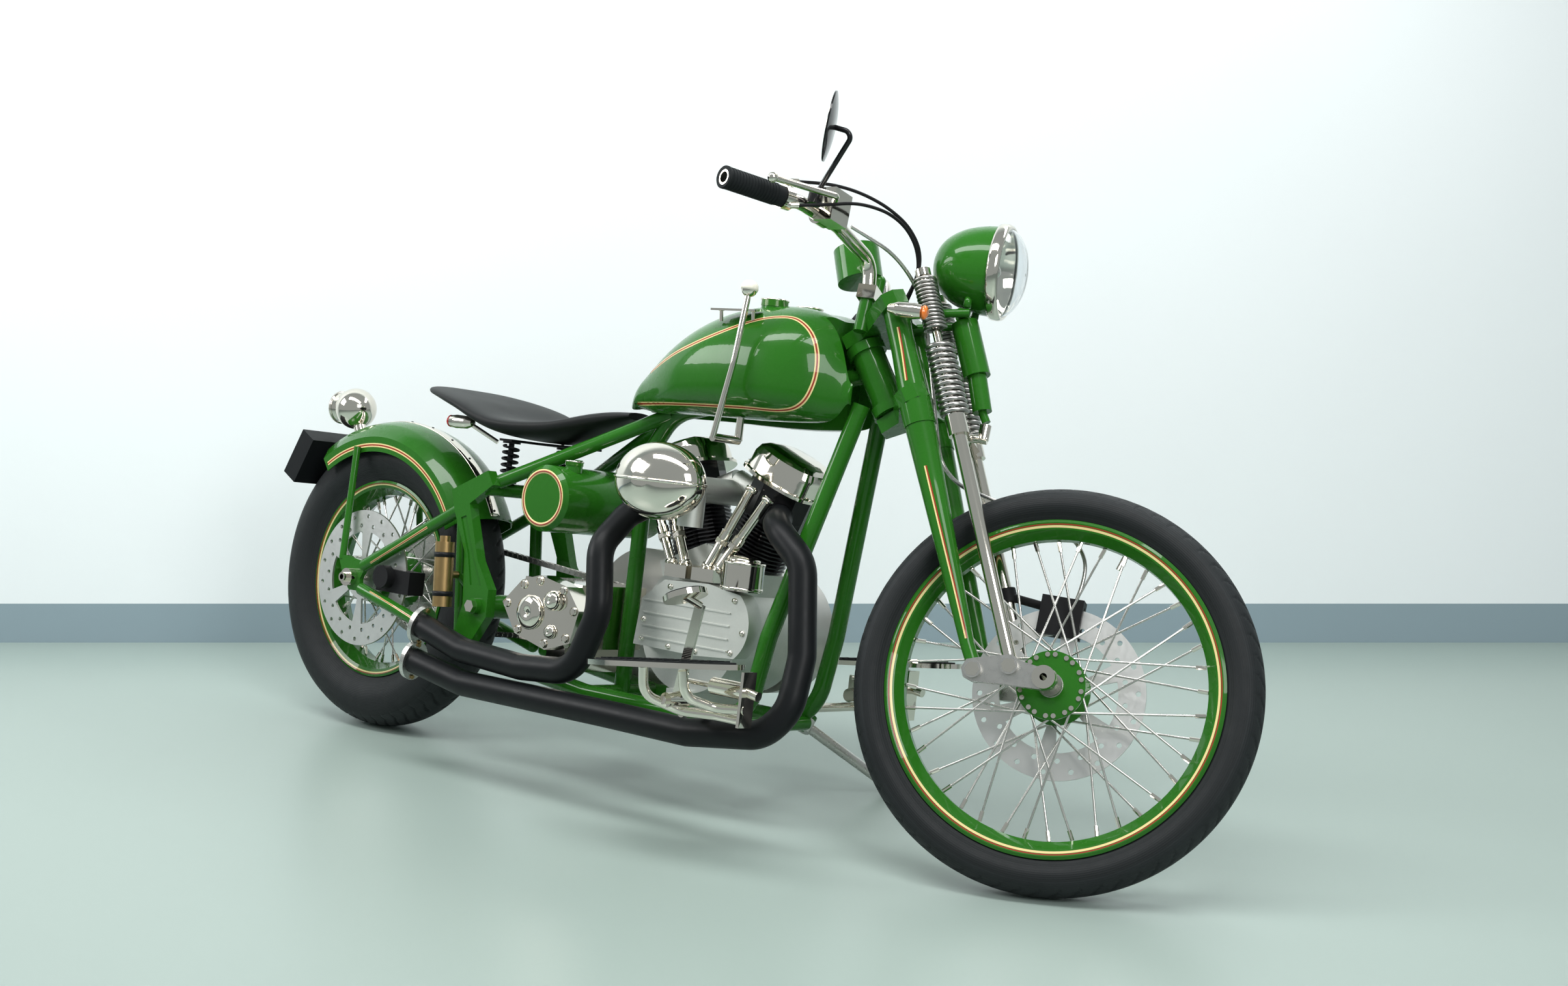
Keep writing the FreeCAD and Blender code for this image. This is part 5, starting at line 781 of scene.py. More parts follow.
def addSaddle():
    size = saddleSizes
    stations = saddleStations()
    thick, rows, around = size["thick"], size["rows"], size["around"]
    points = []
    for row in range(rows + 1):
        share = 0.5 - 0.5 * math.cos(math.pi * row / rows)
        across, middle, deep = between(stations, min(0.999, share))
        x = size["rearX"] + size["length"] * share
        for side, rise in circle(around, size["square"]):
            hollow = thick * size["dish"] * (1 - side * side) * math.sin(math.pi * min(1, share * 1.25))
            high = middle + thick * deep * rise - (hollow if rise > 0 else 0)
            points.append(bikeFrame @ Vector((x, size["half"] * across * side, high)))
    faces = skin(rows + 1, around, False) + caps(rows + 1, around)
    piece = solidMesh(points, faces, blackLeather)
    piece.name = "saddleLeather"
    smooth = piece.modifiers.new("smooth", "SUBSURF")
    smooth.levels = smooth.render_levels = 1
    ride(piece, "chassis", "leather", "saddle")


addSaddle()
print("saddle ready")

# Headlamp: shell, rim, reflector, bulb, feet and glass, with (radius, height) outlines

lampSizes = {"x": 1419.0, "z": 1050.0, "shell": 80.0, "deep": 116.0, "wall": 2.0, "rim": 86.0, "rimDeep": 18.0,
             "shellShares": [(0.30, 0.02), (0.62, 0.16), (0.86, 0.42), (0.98, 0.74), (1, 1)],
             "bowl": [(0.5, -46.0), (14.0, -45.0), (34.0, -38.0), (54.0, -24.0), (70.0, -4.0), (77.5, 14.0)],
             "bowlWall": 1.2,
             "bulb": [(0.2, -44), (9, -44), (9, -22), (13, -16), (14, -8), (11, 0), (5, 4), (0.2, 5)],
             "lens": 79.0, "bulge": 34.0, "lensShares": [(1, 0), (0.86, 0.42), (0.6, 0.78), (0.3, 0.96)],
             "foot": (1384.5, 34.0, 977.0), "footRadius": 7.0, "footHigh": 22.0}


def addHeadlamp():
    size = lampSizes
    wall, rim, high = size["wall"], size["rim"], size["rimDeep"]

    def turned(profile, ahead, steps=96, material=nickelPlate):
        return lathe(profile, (size["x"] + ahead, 0, size["z"]), xAxis, steps, material, forkFrame)

    shares = [(size["shell"] * out, size["deep"] * up) for out, up in size["shellShares"]]
    shell = smoothRun([(0.5, 0.0)] + shares, 5)
    inside = [(r - wall if r > 3 else 0.5, h + wall) for r, h in reversed(shell[:-1])]
    body = [turned(shell + inside, -size["deep"], material=greenPaint)]
    body += [studs([(mirrored(size["foot"], side), zAxis)], size["footRadius"], size["footHigh"], 20, True,
                   greenPaint, forkFrame) for side in (1, -1)]
    settle("headlampBody", body, "steering", "green_paint", "headlamp")
    ring = [(rim - 6, -2), (rim - 1, -3), (rim, 1), (rim, high * 0.55), (rim - 2, high * 0.85), (rim - 6, high),
            (rim - 8, high - 1), (rim - 8, 0)]
    bowl = smoothRun(size["bowl"], 5)
    back = [(r, h - size["bowlWall"]) for r, h in reversed(bowl)]
    settle("headlampTrim", [turned(ring, 0), turned(bowl + back, 0), turned(size["bulb"], 0, 32)], "steering",
           "chrome")
    shares = [(size["lens"] * out, size["bulge"] * up) for out, up in size["lensShares"]]
    glass = smoothRun(shares + [(0.4, size["bulge"])], 5)
    back = [(max(0.4, r - 1.5), h - 2.5) for r, h in reversed(glass)]
    settle("headlampGlass", [turned(glass + back, high - 3, material=lampGlass)], "steering", "glass",
           "headlamp_lens")


addHeadlamp()
print("headlamp ready")

# Cables and brake hose, along the routes of their solids

cordRoutes = {
    "throttle": [(1110, -260, 1076), (1142.8, -228.2, 1091.2), (1176, -194.4, 1100.1), (1208, -158.6, 1102.2),
                 (1238.8, -121.8, 1097.2), (1268, -87, 1082), (1288.7, -58.2, 1050.2),
                 (1287.9, -39.9, 1006.2), (1270.2, -34, 962.2)],
    "return": [(1130, -285, 1024), (1172.2, -263.8, 1038.1), (1203.1, -231.4, 1059.3),
               (1225.4, -189.2, 1073.2), (1247.3, -145.2, 1080.3), (1269.1, -101.3, 1072.9),
               (1284.4, -61.3, 1048.4), (1286.4, -34.1, 1007.5), (1270.2, -23, 962.2)],
    "hose": [(1190, -172, 1040), (1226.4, -139.1, 1031.2), (1253.9, -97, 1024.4),
             (1280.7, -59.8, 1001.5), (1302.4, -27.2, 969), (1318.1, -17.1, 922), (1333.2, -18.7, 873),
             (1348.7, -19.7, 824.2), (1364.2, -22.2, 775.4), (1380.1, -28.6, 727.2),
             (1397.8, -32.3, 679.5), (1429.3, -7, 653.7), (1459.1, 34.6, 653.6), (1501.7, 59.2, 647.8),
             (1551.8, 61.4, 637.5), (1601, 64, 623.6), (1644.2, 64, 596.8), (1664.7, 61.4, 551.3),
             (1655, 58, 501.2)],
    "cableRadius": 0.003, "hoseRadius": 0.0035}


def addCords(name, routes, radius, material, node):
    data = bpy.data.curves.new(name, "CURVE")
    data.dimensions = "3D"
    data.bevel_depth = radius
    data.bevel_resolution = 3
    data.use_fill_caps = True
    for route in routes:
        cord = data.splines.new("NURBS")
        cord.points.add(len(route) - 1)
        for point, spot in zip(cord.points, route):
            point.co = (*(forkFrame @ Vector(spot)), 1)
        cord.order_u = 3
        cord.use_endpoint_u = True
    data.materials.append(material)
    ride(link(name, data), "steering", "rubber", node)


addCords("throttleCables", [cordRoutes["throttle"], cordRoutes["return"]], cordRoutes["cableRadius"],
         blackPlastic, "control_cables")
addCords("braidedBrakeHose", [cordRoutes["hose"]], cordRoutes["hoseRadius"], brushedSteel, "brake_hose")
print("cords ready")

# Lamps' lenses, mirror glass and the shift lever's knob

lensSizes = {"frontTip": (1270, 123, 918), "rearTip": (345, 128, 675), "bullet": 66.0, "radius": 12.4,
             "high": 7.0, "dome": [(1, 0.25), (0.86, 0.62), (0.5, 0.92)], "tail": (-193, 0, 685), "tailRadius": 46.0,
             "tailHigh": 8.0, "ring": [(-2.5, -6), (1.6, -6), (1.6, 1.5), (0, 3), (-2.5, 2)],
             "mirror": (1172, -330, 1150), "mirrorBack": (-0.966, -0.26, 0), "mirrorRadius": 59.0,
             "mirrorFace": 4.5, "mirrorHalf": 0.6}
knobSizes = {"at": (1058, -160, 958), "foot": (1052, -172, 830), "radius": 15.6, "low": -3,
             "shares": [(0.96, 0.5), (0.68, 0.84), (0.3, 1)]}


def addLenses():
    size = lensSizes
    dome = domed(size["radius"], size["high"], size["dome"])
    ahead = xAxis * size["bullet"]
    front = [lathe(dome, mirrored(size["frontTip"], side) + ahead, xAxis, 32, amberLens, forkFrame)
             for side in (1, -1)]
    settle("frontIndicatorLenses", front, "steering", "glass")
    rear = [lathe(dome, mirrored(size["rearTip"], side) - ahead, -xAxis, 32, rubyLens) for side in (1, -1)]
    radius = size["tailRadius"] * 0.78
    end = Vector(size["tail"]) - xAxis * size["tailRadius"] * 1.08
    rear.append(lathe(domed(radius - 2, size["tailHigh"], size["dome"]), end, -xAxis, 64, rubyLens))
    settle("rearLenses", rear, "chassis", "glass")
    ring = [(radius + out, high) for out, high in size["ring"]]
    settle("tailLensRing", [lathe(ring, end, -xAxis, 64)], "chassis", "chrome")
    radius = size["mirrorRadius"] - 3
    low, high = size["mirrorFace"] - size["mirrorHalf"], size["mirrorFace"] + size["mirrorHalf"]
    disc = [(0.1, low), (radius, low), (radius, high), (0.1, high)]
    glass = lathe(disc, size["mirror"], size["mirrorBack"], 72, place=forkFrame)
    settle("mirrorGlass", [glass], "steering", "chrome")


def addKnob():
    size = knobSizes
    radius, low = size["radius"], size["low"]
    knob = [(0.1, low), (radius * 0.96, low), (radius * 1.04, 1)]
    knob += [(radius * out, radius * high) for out, high in size["shares"]] + [(0.1, radius * 1.03)]
    aim = Vector(size["at"]) - Vector(size["foot"])
    settle("shiftKnob", [lathe(knob, size["at"], aim, 48, ivoryKnob)], "chassis", "aluminium")


addKnob()
addLenses()
print("lenses ready")

# Rear fender strip with rivets, as a (radius, across) section swept round the rear axle

fenderSizes = {"crown": 346.0, "skirt": 274.0, "half": 80.0, "rearDeg": 37.0, "frontDeg": 62.0, "steps": 80,
               "stripHalf": 12.5, "stripEndDeg": 1.0,
               "section": [(-1.6, -1), (0.5, -1), (1.3, -0.5), (1.6, 0), (1.3, 0.5), (0.5, 1), (-1.6, 1)],
               "rivets": 9, "rivetEndDeg": 3.0, "rivetOut": 1.8, "rivetRadius": 2.6, "rivetHigh": 1.8}


def fenderPoint(degrees, radius, across=0.0):
    angle = math.radians(degrees)
    return rearAxle + Vector((-math.sin(angle) * radius, across, math.cos(angle) * radius))


def addFenderStrip():
    size = fenderSizes
    steps, count = size["steps"], len(size["section"])
    front, rear = -size["frontDeg"], size["rearDeg"]
    points = []
    for index in range(steps + 1):
        degrees = lerp(front + size["stripEndDeg"], rear - size["stripEndDeg"], index / steps)
        points += [bikeFrame @ fenderPoint(degrees, size["crown"] + out, share * size["stripHalf"])
                   for out, share in size["section"]]
    strip = solidMesh(points, skin(steps + 1, count, False) + caps(steps + 1, count), nickelPlate)
    rivets = []
    for index in range(size["rivets"]):
        degrees = lerp(rear - size["rivetEndDeg"], front + size["rivetEndDeg"], index / (size["rivets"] - 1))
        point = fenderPoint(degrees, size["crown"] + size["rivetOut"])
        rivets.append((point, (point - rearAxle).normalized()))
    heads = studs(rivets, size["rivetRadius"], size["rivetHigh"], 16, True, blackEnamel)
    settle("fenderTrim", [strip, heads], "chassis", "chrome")


addFenderStrip()

# Saddle coil springs

coilSizes = {"low": (408.0, 76.0, 566.0), "high": (408.0, 76.0, 641.0), "radius": 18.0, "wire": 2.6,
             "turns": 5.5}
settle("saddleCoils", [coil(mirrored(coilSizes["low"], side), mirrored(coilSizes["high"], side),
                            coilSizes["radius"], coilSizes["wire"], coilSizes["turns"], satinBlack, bikeFrame)
                       for side in (1, -1)], "chassis", "black_metal")
print("fender and saddle details ready")

# Rubber pads of the footboards and pedals, ribs of the grips

padSizes = {"board": (1110.0, 330.0, 292.0), "tiltDeg": -6.5, "half": 165.0, "halfWidth": 55.0, "top": 9.0,
            "low": -0.5, "high": 2.4, "along": 0.90, "across": 0.84, "square": 0.8, "steps": 72,
            "ribs": 15, "ribReach": 0.8, "ribAcross": 0.76, "ribUp": 3.2, "ribSize": (5.0, 2.6),
            "pedal": (1121, 312, 419), "pedalAim": (-4, 0, 9), "pedalRadius": 38.0}
gripSizes = {"end": (1035, 400, 1014), "root": (1122, 256, 1040), "first": 10, "pitch": 6.5, "ribs": 16,
             "radius": 18.0, "ribOut": 0.9, "high": 3.2, "capOut": 1.4, "bore": 10}


def addPads():
    size = padSizes
    half, wide = size["half"], size["halfWidth"]
    radius = size["pedalRadius"] - 4
    pad = [(0.1, -0.5), (radius, -0.5), (radius, 2.6), (radius - 4, 3.4), (radius - 7, 2.0), (radius * 0.4, 2.0),
           (radius * 0.34, 3.2), (0.1, 3.4)]
    pieces = []
    for side in (1, -1):
        place = (bikeFrame @ Matrix.Translation(mirrored(size["board"], side))
                 @ Matrix.Rotation(math.radians(size["tiltDeg"]), 4, "Y"))
        points = [place @ Vector((half * size["along"] * x, wide * size["across"] * y, size["top"] + high))
                  for high in (size["low"], size["high"]) for x, y in circle(size["steps"], size["square"])]
        faces = skin(2, size["steps"], False) + caps(2, size["steps"])
        pieces.append(solidMesh(points, faces, gripRubber, False))
        for index in range(size["ribs"]):
            share = lerp(-size["ribReach"], size["ribReach"], index / (size["ribs"] - 1))
            reach = wide * size["ribAcross"] * math.sqrt(max(0.1, 1 - abs(share) ** 2.4))
            spot = Vector((half * size["along"] * share, 0, size["top"] + size["ribUp"]))
            pieces.append(bar(spot, yAxis, (reach * 2, *size["ribSize"]), gripRubber, place))
        pieces.append(lathe(pad, mirrored(size["pedal"], side), size["pedalAim"], 48, gripRubber))
    settle("footRubbers", pieces, "chassis", "rubber")
    size = gripSizes
    rim, bore = size["radius"] + size["capOut"], size["bore"]
    cap = [(bore, -0.4), (rim, -0.4), (rim, -4.5), (bore, -4.5)]
    pieces = []
    for side in (1, -1):
        end = mirrored(size["end"], side)
        along = (mirrored(size["root"], side) - end).normalized()
        rows = [(end + along * (size["first"] + size["pitch"] * index), along) for index in range(size["ribs"])]
        pieces.append(studs(rows, size["radius"] + size["ribOut"], size["high"], 36, False, gripRubber,
                            forkFrame))
        pieces.append(lathe(cap, end, -along, 48, gripRubber, forkFrame))
    settle("gripRubbers", pieces, "steering", "rubber")


addPads()
print("rubber pads ready")

# Fasteners, collars and small turned parts: tables hold (x, z) places on a cover

engineSizes = {"centre": (950.0, 0, 338.0), "bankDeg": 22.5, "headTop": 306.0, "coverHigh": 60.0,
               "coverLong": 86.0, "coverWide": 70.0, "edge": 0.965, "bolts": 12, "boltRadius": 3.6, "case": 118.0,
               "caseHalf": 92.0, "rodRadius": 9.0,
               "rodPairs": [(-1, -0.30, -0.44), (-1, -0.02, 0.08), (1, 0.29, -0.08), (1, 0.50, 0.44)]}
rightSizes = {"screws": [(868, 345), (868, 310), (925, 412), (1005, 417), (1080, 405), (1105, 350), (1082, 312),
                         (1000, 303), (935, 303)], "screwY": -129,
              "outline": [(-1, 0.1), (-0.55, 0.8), (-0.1, 1), (0.6, 0.8), (0.95, 0.2), (0.8, -0.7), (0.2, -1),
                          (-0.6, -0.7)],
              "boxX": 630, "boxZ": 326, "boxLong": 107, "boxHigh": 70, "boxShares": (0.87, 0.84),
              "boltY": -161.5, "capY": -160,
              "caps": [(604, 322, 33, 12), (668, 352, 19, 20), (664, 292, 13, 10)],
              "dome": [(1, 0.45), (0.88, 0.8), (0.5, 1)],
              "timer": (1082, -116.4), "timerRings": (428, 473), "timerTop": 475.5,
              "timerCap": [(0.1, 0), (30, 0), (29, 5), (22, 9), (9, 11), (0.1, 11.5)]}
leftSizes = {"screwY": 191, "capY": 190, "arcs": [(950, 338, 109, -90), (630, 326, 126, 90)],
             "extra": [(790, 446), (790, 220)],
             "caps": [(630, 326, 66, 9), (950, 338, 38, 8), (790, 334, 22, 6)],
             "dome": [(1, 0.5), (0.94, 0.9), (0.9, 1), (0.3, 1)]}


def bankPoint(lean, out, across=0.0, side=0.0):
    # A point measured along a cylinder that leans forward (1) or back (-1)
    angle = math.radians(engineSizes["bankDeg"]) * lean
    return (Vector(engineSizes["centre"]) + Vector((math.sin(angle), 0, math.cos(angle))) * out
            + Vector((math.cos(angle), 0, -math.sin(angle))) * across + yAxis * side)


def engineFasteners():
    size = engineSizes
    radius = size["rodRadius"]
    out = size["headTop"] + size["coverHigh"] * 0.1 + 1.6
    low, top = -size["caseHalf"] - radius * 2.2, -size["coverWide"] * 1.02 - radius
    base = size["centre"][2] + size["case"] * 0.78 + radius
    bolts, rings, nuts = [], [], []
    for lean in (-1, 1):
        up = bankPoint(lean, 1) - bankPoint(lean, 0)
        for index in range(size["bolts"]):
            angle = 2 * math.pi * (index + 0.5) / size["bolts"]
            ahead, side = (math.copysign(abs(v) ** (2 / 3), v) for v in (math.cos(angle), math.sin(angle)))
            bolts.append((bankPoint(lean, out, ahead * size["coverLong"] * size["edge"],
                                    side * size["coverWide"] * size["edge"]), up))
    for lean, foot, head in size["rodPairs"]:
        start = Vector((size["centre"][0] + size["case"] * foot, low, base))
        end = bankPoint(lean, size["headTop"], size["coverLong"] * head, top)
        long = (end - start).length
        along = (end - start) / long
        rings += [(start + along * 20, along), (start + along * (long - 20), along)]
        nuts.append((start + along * long * 0.36, along))
    return [studs(bolts, size["boltRadius"], size["boltRadius"], 16, True),
            studs(rings, radius * 1.3, 8.0, 24, True), studs(nuts, radius * 1.45, 9.0)]


def coverParts(size, aim, steps, top):
    # Round caps on a side cover
    return [lathe(domed(radius, high, size["dome"], top), (x, size["capY"], z), aim, steps)
            for x, z, radius, high in size["caps"]]


def sideFasteners():
    # Screws and caps on the covers of both sides
    size = rightSizes
    screws = [((x, size["screwY"], z), -yAxis) for x, z in size["screws"]]
    long, high = size["boxLong"] * size["boxShares"][0], size["boxHigh"] * size["boxShares"][1]
    bolts = [((size["boxX"] + long * x, size["boltY"], size["boxZ"] + high * z), -yAxis)
             for x, z in size["outline"]]
    rings = [((*size["timer"], z), zAxis) for z in size["timerRings"]]
    pieces = [studs(screws, 5.2, 3.0, 20, True), studs(bolts, 6.4, 5.0), studs(bolts, 8.6, 1.6, 24, True),
              studs(rings, 39.2, 5.0, 64, True),
              lathe(size["timerCap"], (*size["timer"], size["timerTop"]), zAxis)]
    pieces += coverParts(size, -yAxis, 48, 1.0)
    size = leftSizes
    rows = [((x, size["screwY"], z), yAxis) for x, z in size["extra"]]
    for x, z, radius, first in size["arcs"]:
        for index in range(7):
            angle = math.radians(first + 30 * index)
            rows.append(((x + math.cos(angle) * radius, size["screwY"], z + math.sin(angle) * radius), yAxis))
    return pieces + [studs(rows, 5.4, 4.0, 20, True)] + coverParts(size, yAxis, 64, 1.1)


pinSizes = {"arm": (1134, 283, 400), "pad": (1123.5, 311, 413), "radius": 6.5,
            "gate": (1000, -118, 923.6), "gateTiltDeg": 8.0, "gateAlong": 38.0, "gateDepth": 20.0,
            "screwRadius": 3.5, "headRadius": 5.5, "headLow": 1.5, "headHigh": 4.5,
            "pivot": (428, 156, 312), "pivotRadius": 13.0, "pivotHigh": 9.0}


def holdingPins():
    # Pivot nuts, the pins between pedal arms and pads, and the shift gate's screws
    size = pinSizes
    tilt = math.radians(size["gateTiltDeg"])
    up = Vector((0, -math.sin(tilt), math.cos(tilt)))
    pieces = [studs([(mirrored(size["pivot"], side), yAxis * side) for side in (1, -1)], size["pivotRadius"],
                    size["pivotHigh"])]
    for side in (1, -1):
        pieces.append(pipe([mirrored(size["arm"], side), mirrored(size["pad"], side)], size["radius"]))
        middle = Vector(size["gate"]) + xAxis * size["gateAlong"] * side
        top = middle + up * size["headLow"]
        pieces.append(pipe([middle - up * size["gateDepth"], top], size["screwRadius"]))
        pieces.append(studs([(top, up)], size["headRadius"], size["headHigh"], 20, True))
    return pieces


flangeSizes = {"ends": [((337, -200, 262), (469, -200, 229)), ((324, -200, 190), (480, -200, 166))],
               "long": 39.6, "short": 30.8, "bore": 22.2, "deep": 10.8, "out": 0.5, "steps": 64,
               "boltUp": 33, "boltIn": 5, "boltRadius": 4.6, "boltHigh": 18.0}


def exhaustFlanges():
    # Bright oval plates over the flanges at the pipes' ends, with their bolts
    size = flangeSizes
    pieces, bolts = [], []
    for end, before in size["ends"]:
        end = Vector(end)
        along = (end - Vector(before)).normalized()
        up = Vector((along.z, 0, -along.x))
        bolts += [(end - along * size["boltIn"] + up * size["boltUp"] * side, along) for side in (1, -1)]
        oval, bore = (size["long"], size["short"]), (size["bore"], size["bore"])
        low, high = -size["deep"], size["out"]
        points = [bikeFrame @ (end + along * shift + up * cos * long + yAxis * sin * short)
                  for cos, sin in circle(size["steps"])
                  for (long, short), shift in ((oval, low), (oval, high), (bore, high), (bore, low))]
        pieces.append(solidMesh(points, skin(size["steps"], 4), brushedSteel, False))
    return pieces + [studs(bolts, size["boltRadius"], size["boltHigh"], material=agedBrass)]


rockerSizes = {"pivots": [(-117, 107.5, -7), (-59.67, 107.5, 9)], "radius": 12.5, "high": 10.0}


def rockerNuts(side):
    rows = [(frontAxle + mirrored(spot, side), yAxis * side) for spot in rockerSizes["pivots"]]
    return studs(rows, rockerSizes["radius"], rockerSizes["high"], place=forkFrame)


settle("engineFasteners", engineFasteners() + sideFasteners() + holdingPins() + exhaustFlanges(), "chassis",
       "chrome")
settle("forkFasteners", [rockerNuts(1), rockerNuts(-1)], "steering", "chrome")

# Canister straps, air cleaner belt and filler caps

canSizes = {"low": (345, -156, 300), "high": (333, -156, 430), "shares": (0.2, 0.8), "radius": 19.7,
            "strap": [(-1, -5), (1.4, -5), (1.4, 5), (-1, 5)]}
beltSizes = {"at": (940, -206, 602), "long": 98.0, "deep": 56.0, "share": 0.98, "back": 12, "bead": 3.2,
             "steps": 64}
capSizes = {"above": 1100.0,
            "rows": [("fuel_tank", 1031.0, -52.0, 25.0, 10.0), ("fuel_tank", 1031.0, 52.0, 25.0, 10.0),
                     ("oil_tank", 608.5, -93.0, 17.8, 6.0)]}


def fillerCap(node, x, y, radius, high):
    # A bright screwed cap over the one that the tank's solid carries
    hit = treeOf(node).ray_cast(bikeFrame @ Vector((x, y, capSizes["above"])),
                                (bikeFrame.to_3x3() @ -zAxis).normalized())
    top = (bikeFrame.inverted() @ hit[0]).z
    profile = [(0.1, -high), (radius, -high), (radius, 0.5), (radius * 1.06, 0.6), (radius * 1.06, 3.4),
               (radius * 0.92, 4.2), (radius * 0.8, 3.2), (radius * 0.35, 3.2), (radius * 0.3, 4.6), (0.1, 4.8)]
    return lathe(profile, (x, y, top), zAxis, 56)


def addBands():
    low, high = Vector(canSizes["low"]), Vector(canSizes["high"])
    strap = [(canSizes["radius"] + out, along) for out, along in canSizes["strap"]]
    straps = [lathe(strap, low.lerp(high, share), high - low, 40, satinBlack)
              for share in canSizes["shares"]]
    settle("canisterStraps", straps, "chassis", "black_metal")
    size = beltSizes
    belt = []
    for cos, sin in circle(size["steps"]):
        out = -sin * size["deep"] * size["share"] if sin > 0 else size["back"]
        belt.append(Vector(size["at"]) + Vector((cos * size["long"], out, 0)))
    settle("cleanerBelt", [pipe(belt, size["bead"], True)], "chassis", "chrome")
    settle("fillerCaps", [fillerCap(*row) for row in capSizes["rows"]], "chassis", "chrome")


addBands()
print("fasteners ready")

# Drive chain links

chainSizes = {"y": 80.0, "rear": 112.6, "front": 52.6, "x": 630.0, "z": 326.0, "pitch": 15.875, "steps": 60,
              "roller": 5.0, "span": 15.0, "plate": (0.96, 1.6, 11.0), "across": 6.0}


def addChain():
    size = chainSizes
    front = Vector((size["x"], size["y"], size["z"]))
    rear = rearAxle + yAxis * size["y"]
    tilt = math.atan2(front.z - rear.z, front.x - rear.x)
    wide = math.acos((size["rear"] - size["front"]) / (front - rear).length)
    loop = []
    for centre, radius, first, last in ((rear, size["rear"], wide, 2 * math.pi - wide),
                                        (front, size["front"], -wide, wide)):
        for index in range(size["steps"] + 1):
            angle = lerp(first, last, index / size["steps"]) + tilt
            loop.append(centre + Vector((math.cos(angle), 0, math.sin(angle))) * radius)
    total = sum((end - loop[index - 1]).length for index, end in enumerate(loop))
    count = int(total / size["pitch"])
    pitch = total / count
    rows = []
    walked = want = 0.0
    for index, end in enumerate(loop):
        start = loop[index - 1]
        length = (end - start).length
        while length and want < walked + length and len(rows) < count:
            rows.append((start.lerp(end, (want - walked) / length), (end - start).normalized()))
            want += pitch
        walked += length
    share, thick, high = size["plate"]
    piece = chainTree.grow(aimedSeed(rows), bikeFrame, False, Roller=size["roller"], Span=size["span"],
                           Plate=(pitch * share, thick, high), Near=(0, -size["across"], 0),
                           Far=(0, size["across"], 0), Material=brushedSteel)
    settle("driveChainLinks", [piece], "chassis", "steel", "drive_chain")


addChain()
print("chain ready")

# Pinstripes: the tank's and legs' lines are given in the photograph's pixels

stripes = {
    "tankLine": [(957, 617), (961, 608), (984, 586), (1027, 549), (1067, 527), (1117, 506), (1160, 492),
                 (1193, 487), (1220, 489), (1239, 502), (1251, 523), (1255, 553), (1249, 588), (1231, 619),
                 (1200, 630), (1133, 625), (1033, 620), (966, 620)],
    "legLines": [[(1421, 715), (1440, 795), (1463, 890), (1484, 980)], [(1379, 502), (1385, 535), (1392, 584)]],
    "tankSteps": 10, "legSteps": 8, "broad": (0.0085, 0.0030), "narrow": (0.0050, 0.0020),
    "creamLift": 0.0003, "redLift": 0.0005, "legCream": (0.0012, 0.0026), "legRed": (-0.0014, 0.0022),
    "armRear": (0, 121, 320.65), "armEnds": [(318, 116, 502), (352, 116, 222)], "armShares": (0.20, 0.72),
    "armSteps": 24, "fenderIn": 14.0, "fenderDegs": (-60.0, 35.5), "fenderSteps": 60,
    "oilTank": (589.0, 150.0, 543.0), "ringRadius": 52.0,
    "rings": [(4.2, 0.35, creamPaint), (1.5, 0.6, redPaint)]}


def ribbon(tree, spots, offset, width, material, lift, closed=False):
    # A thin strip laid on a surface: spots are (point, normal) rows, offset moves it sideways
    points = []
    count = len(spots)
    for index, (point, normal) in enumerate(spots):
        after = spots[(index + 1) % count][0] if closed or index + 1 < count else point
        before = spots[index - 1][0] if closed or index else point
        across = (after - before).normalized().cross(normal).normalized()
        for shift in (offset - width / 2, offset + width / 2):
            points.append(tree.find_nearest(point + across * shift)[0] + normal * lift)
    pairs = [(index * 2, (index + 1) % count * 2) for index in range(count if closed else count - 1)]
    return addMesh(points, [(this, this + 1, after + 1, after) for this, after in pairs], material)


def linePair(tree, spots, widths, closed=False):
    # A cream line with a red one in its middle
    return [ribbon(tree, spots, 0, widths[0], creamPaint, stripes["creamLift"], closed),
            ribbon(tree, spots, 0, widths[1], redPaint, stripes["redLift"], closed)]


def seenSpots(tree, pixels, steps, closed=False):
    # Where the photograph's lines of sight meet a surface
    hits = [tree.ray_cast(*sightLine(*pixel)) for pixel in smoothRun(pixels, steps, closed)]
    return [(hit[0], hit[1]) for hit in hits if hit[0] is not None]


def mirroredSpots(tree, place, spots):
    # The same spots on the other side of a drawing frame's middle plane
    made = []
    for point, normal in spots:
        local = place.inverted() @ point
        start = place @ Vector((local.x, -local.y * 1.6 + (40 if local.y < 0 else -40), local.z))
        aim = (place.to_3x3() @ Vector((0, local.y, 0))).normalized()
        hit = tree.ray_cast(start, aim)
        if hit[0] is None:
            hit = tree.find_nearest(place @ mirrored(local, -1))
        made.append((hit[0], hit[1] if hit[1].dot(aim) < 0 else -hit[1]))
    return made


def sideLines(tree, side, spots, widths):
    # A line pair along one side's spots of the machine
    out = (bikeFrame.to_3x3() @ (yAxis * side)).normalized()
    return linePair(tree, [(bikeFrame @ mirrored(spot, side), out) for spot in spots], widths)


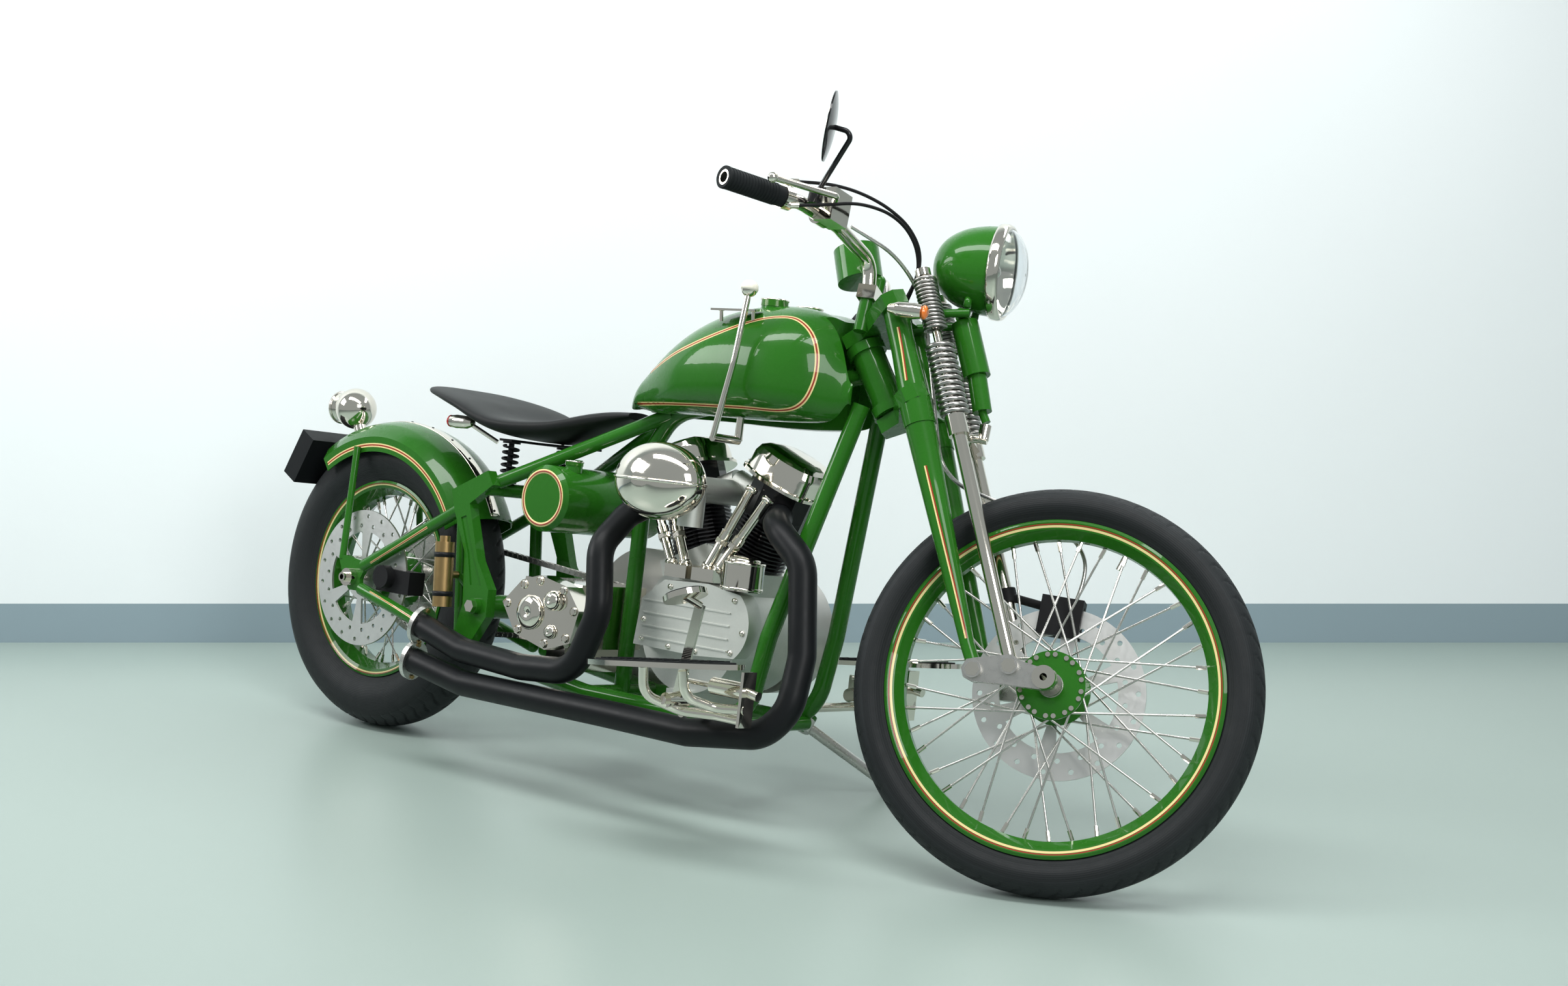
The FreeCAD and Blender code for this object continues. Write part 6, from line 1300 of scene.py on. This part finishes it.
def addStripes():
    size = stripes
    tank, arms, fender, legs = (treeOf(name) for name in ("fuel_tank", "swingarm", "rear_fender", "fork_legs"))
    spots = seenSpots(tank, size["tankLine"], size["tankSteps"], True)
    pieces = []
    for rows in (spots, mirroredSpots(tank, bikeFrame, spots)):
        pieces += linePair(tank, rows, size["broad"], True)
    radius = fenderSizes["skirt"] + size["fenderIn"]
    edge = [fenderPoint(lerp(*size["fenderDegs"], index / size["fenderSteps"]), radius, fenderSizes["half"])
            for index in range(size["fenderSteps"] + 1)]
    steps = size["armSteps"]
    shares = [lerp(*size["armShares"], index / steps) for index in range(steps + 1)]
    for side in (1, -1):
        for end in size["armEnds"]:
            run = [Vector(size["armRear"]).lerp(Vector(end), share) for share in shares]
            pieces += sideLines(arms, side, run, size["narrow"])
        pieces += sideLines(fender, side, edge, size["broad"])
        for half, high, material in size["rings"]:
            low, top = size["ringRadius"] - half, size["ringRadius"] + half
            pieces.append(lathe([(low, -0.3), (top, -0.3), (top, high), (low, high)],
                                mirrored(size["oilTank"], side), yAxis * side, 96, material))
    settle("chassisPinstripes", pieces, "chassis", "green_paint")
    pieces = []
    for line in size["legLines"]:
        spots = seenSpots(legs, line, size["legSteps"])
        for rows in (spots, mirroredSpots(legs, forkFrame, spots)):
            for key, material in (("legCream", creamPaint), ("legRed", redPaint)):
                pieces.append(ribbon(legs, rows, *size[key], material, size["creamLift"]))
    settle("forkPinstripes", pieces, "steering", "green_paint")


addStripes()
print("stripes ready")

# Floor, wall and lights: a lamp has its place, its aim, two sides and its power

studio = {"floor": (0.325, 0.400, 0.365, 1), "wall": (0.86, 0.90, 0.91, 1), "band": (0.26, 0.34, 0.38, 1),
          "air": (0.80, 0.87, 0.88, 1), "airPower": 0.44, "wallAway": 4.77,
          "bandHeight": 0.105, "wallHeight": 0.6, "size": 9.0,
          "lamps": [("lampOver", (0.3, -0.9, 2.9), (0.1, 0, 0.4), 3.4, 0.55, 74),
                    ("lampSide", (-2.6, -2.2, 2.3), (0, 0, 0.5), 1.6, 1.2, 53),
                    ("lampFront", (3.0, -1.4, 2.2), (0.5, 0, 0.5), 1.4, 1.2, 44),
                    ("lampBack", (0.4, 1.7, 2.7), (0, 0, 0.5), 3.0, 0.5, 34)]}


def plainLook(name, colour, rough):
    look = Look(name)
    look.set("Base Color", look.tint(colour, 0.02, 1.5))
    look.rough(rough, 0.05, 3.0)
    return look


def oneSided(look):
    # Seen from its front only, so that views from behind aren't blocked
    side = look.node("ShaderNodeNewGeometry", output="Backfacing")
    clear = look.node("ShaderNodeBsdfTransparent")
    mixed = look.node("ShaderNodeMixShader", None, {0: side, 1: look.shader.outputs[0], 2: clear})
    feed(look.tree, look.tree.nodes["Material Output"].inputs["Surface"], mixed)
    return look.material


def sheet(name, corners, material):
    piece = addMesh(corners, [(0, 1, 2, 3)], material, False)
    piece.name = name
    return piece


def addStudio():
    size, step = studio["size"], studio["bandHeight"]
    floor = sheet("studioFloor", [(-size, -size, 0), (size, -size, 0), (size, size, 0), (-size, size, 0)],
                  plainLook("floorPaint", studio["floor"], 0.32).material)
    foot = cameraPlace.translation + photoAhead * studio["wallAway"]
    foot.z = 0
    rows = (("studioBand", 0.0, step, "band"), ("studioWall", step, size * studio["wallHeight"], "wall"))
    for name, low, high, colour in rows:
        corners = [foot + photoRight * across + zAxis * up
                   for across, up in ((-size, low), (size, low), (size, high), (-size, high))]
        sheet(name, corners, oneSided(plainLook(name + "Paint", studio[colour], 0.7)))
    world = bpy.data.worlds.new("studioAir")
    world.use_nodes = True
    air = world.node_tree.nodes["Background"].inputs
    air["Color"].default_value = studio["air"]
    air["Strength"].default_value = studio["airPower"]
    scene.world = world
    for name, spot, aim, long, wide, power in studio["lamps"]:
        data = bpy.data.lights.new(name, "AREA")
        data.shape = "RECTANGLE"
        data.size, data.size_y, data.energy = long, wide, power
        lamp = link(name, data)
        lamp.location = spot
        lamp.rotation_euler = (Vector(aim) - Vector(spot)).to_track_quat("-Z", "Y").to_euler()
    scene.view_settings.view_transform = "Standard"


addStudio()
print("studio ready")
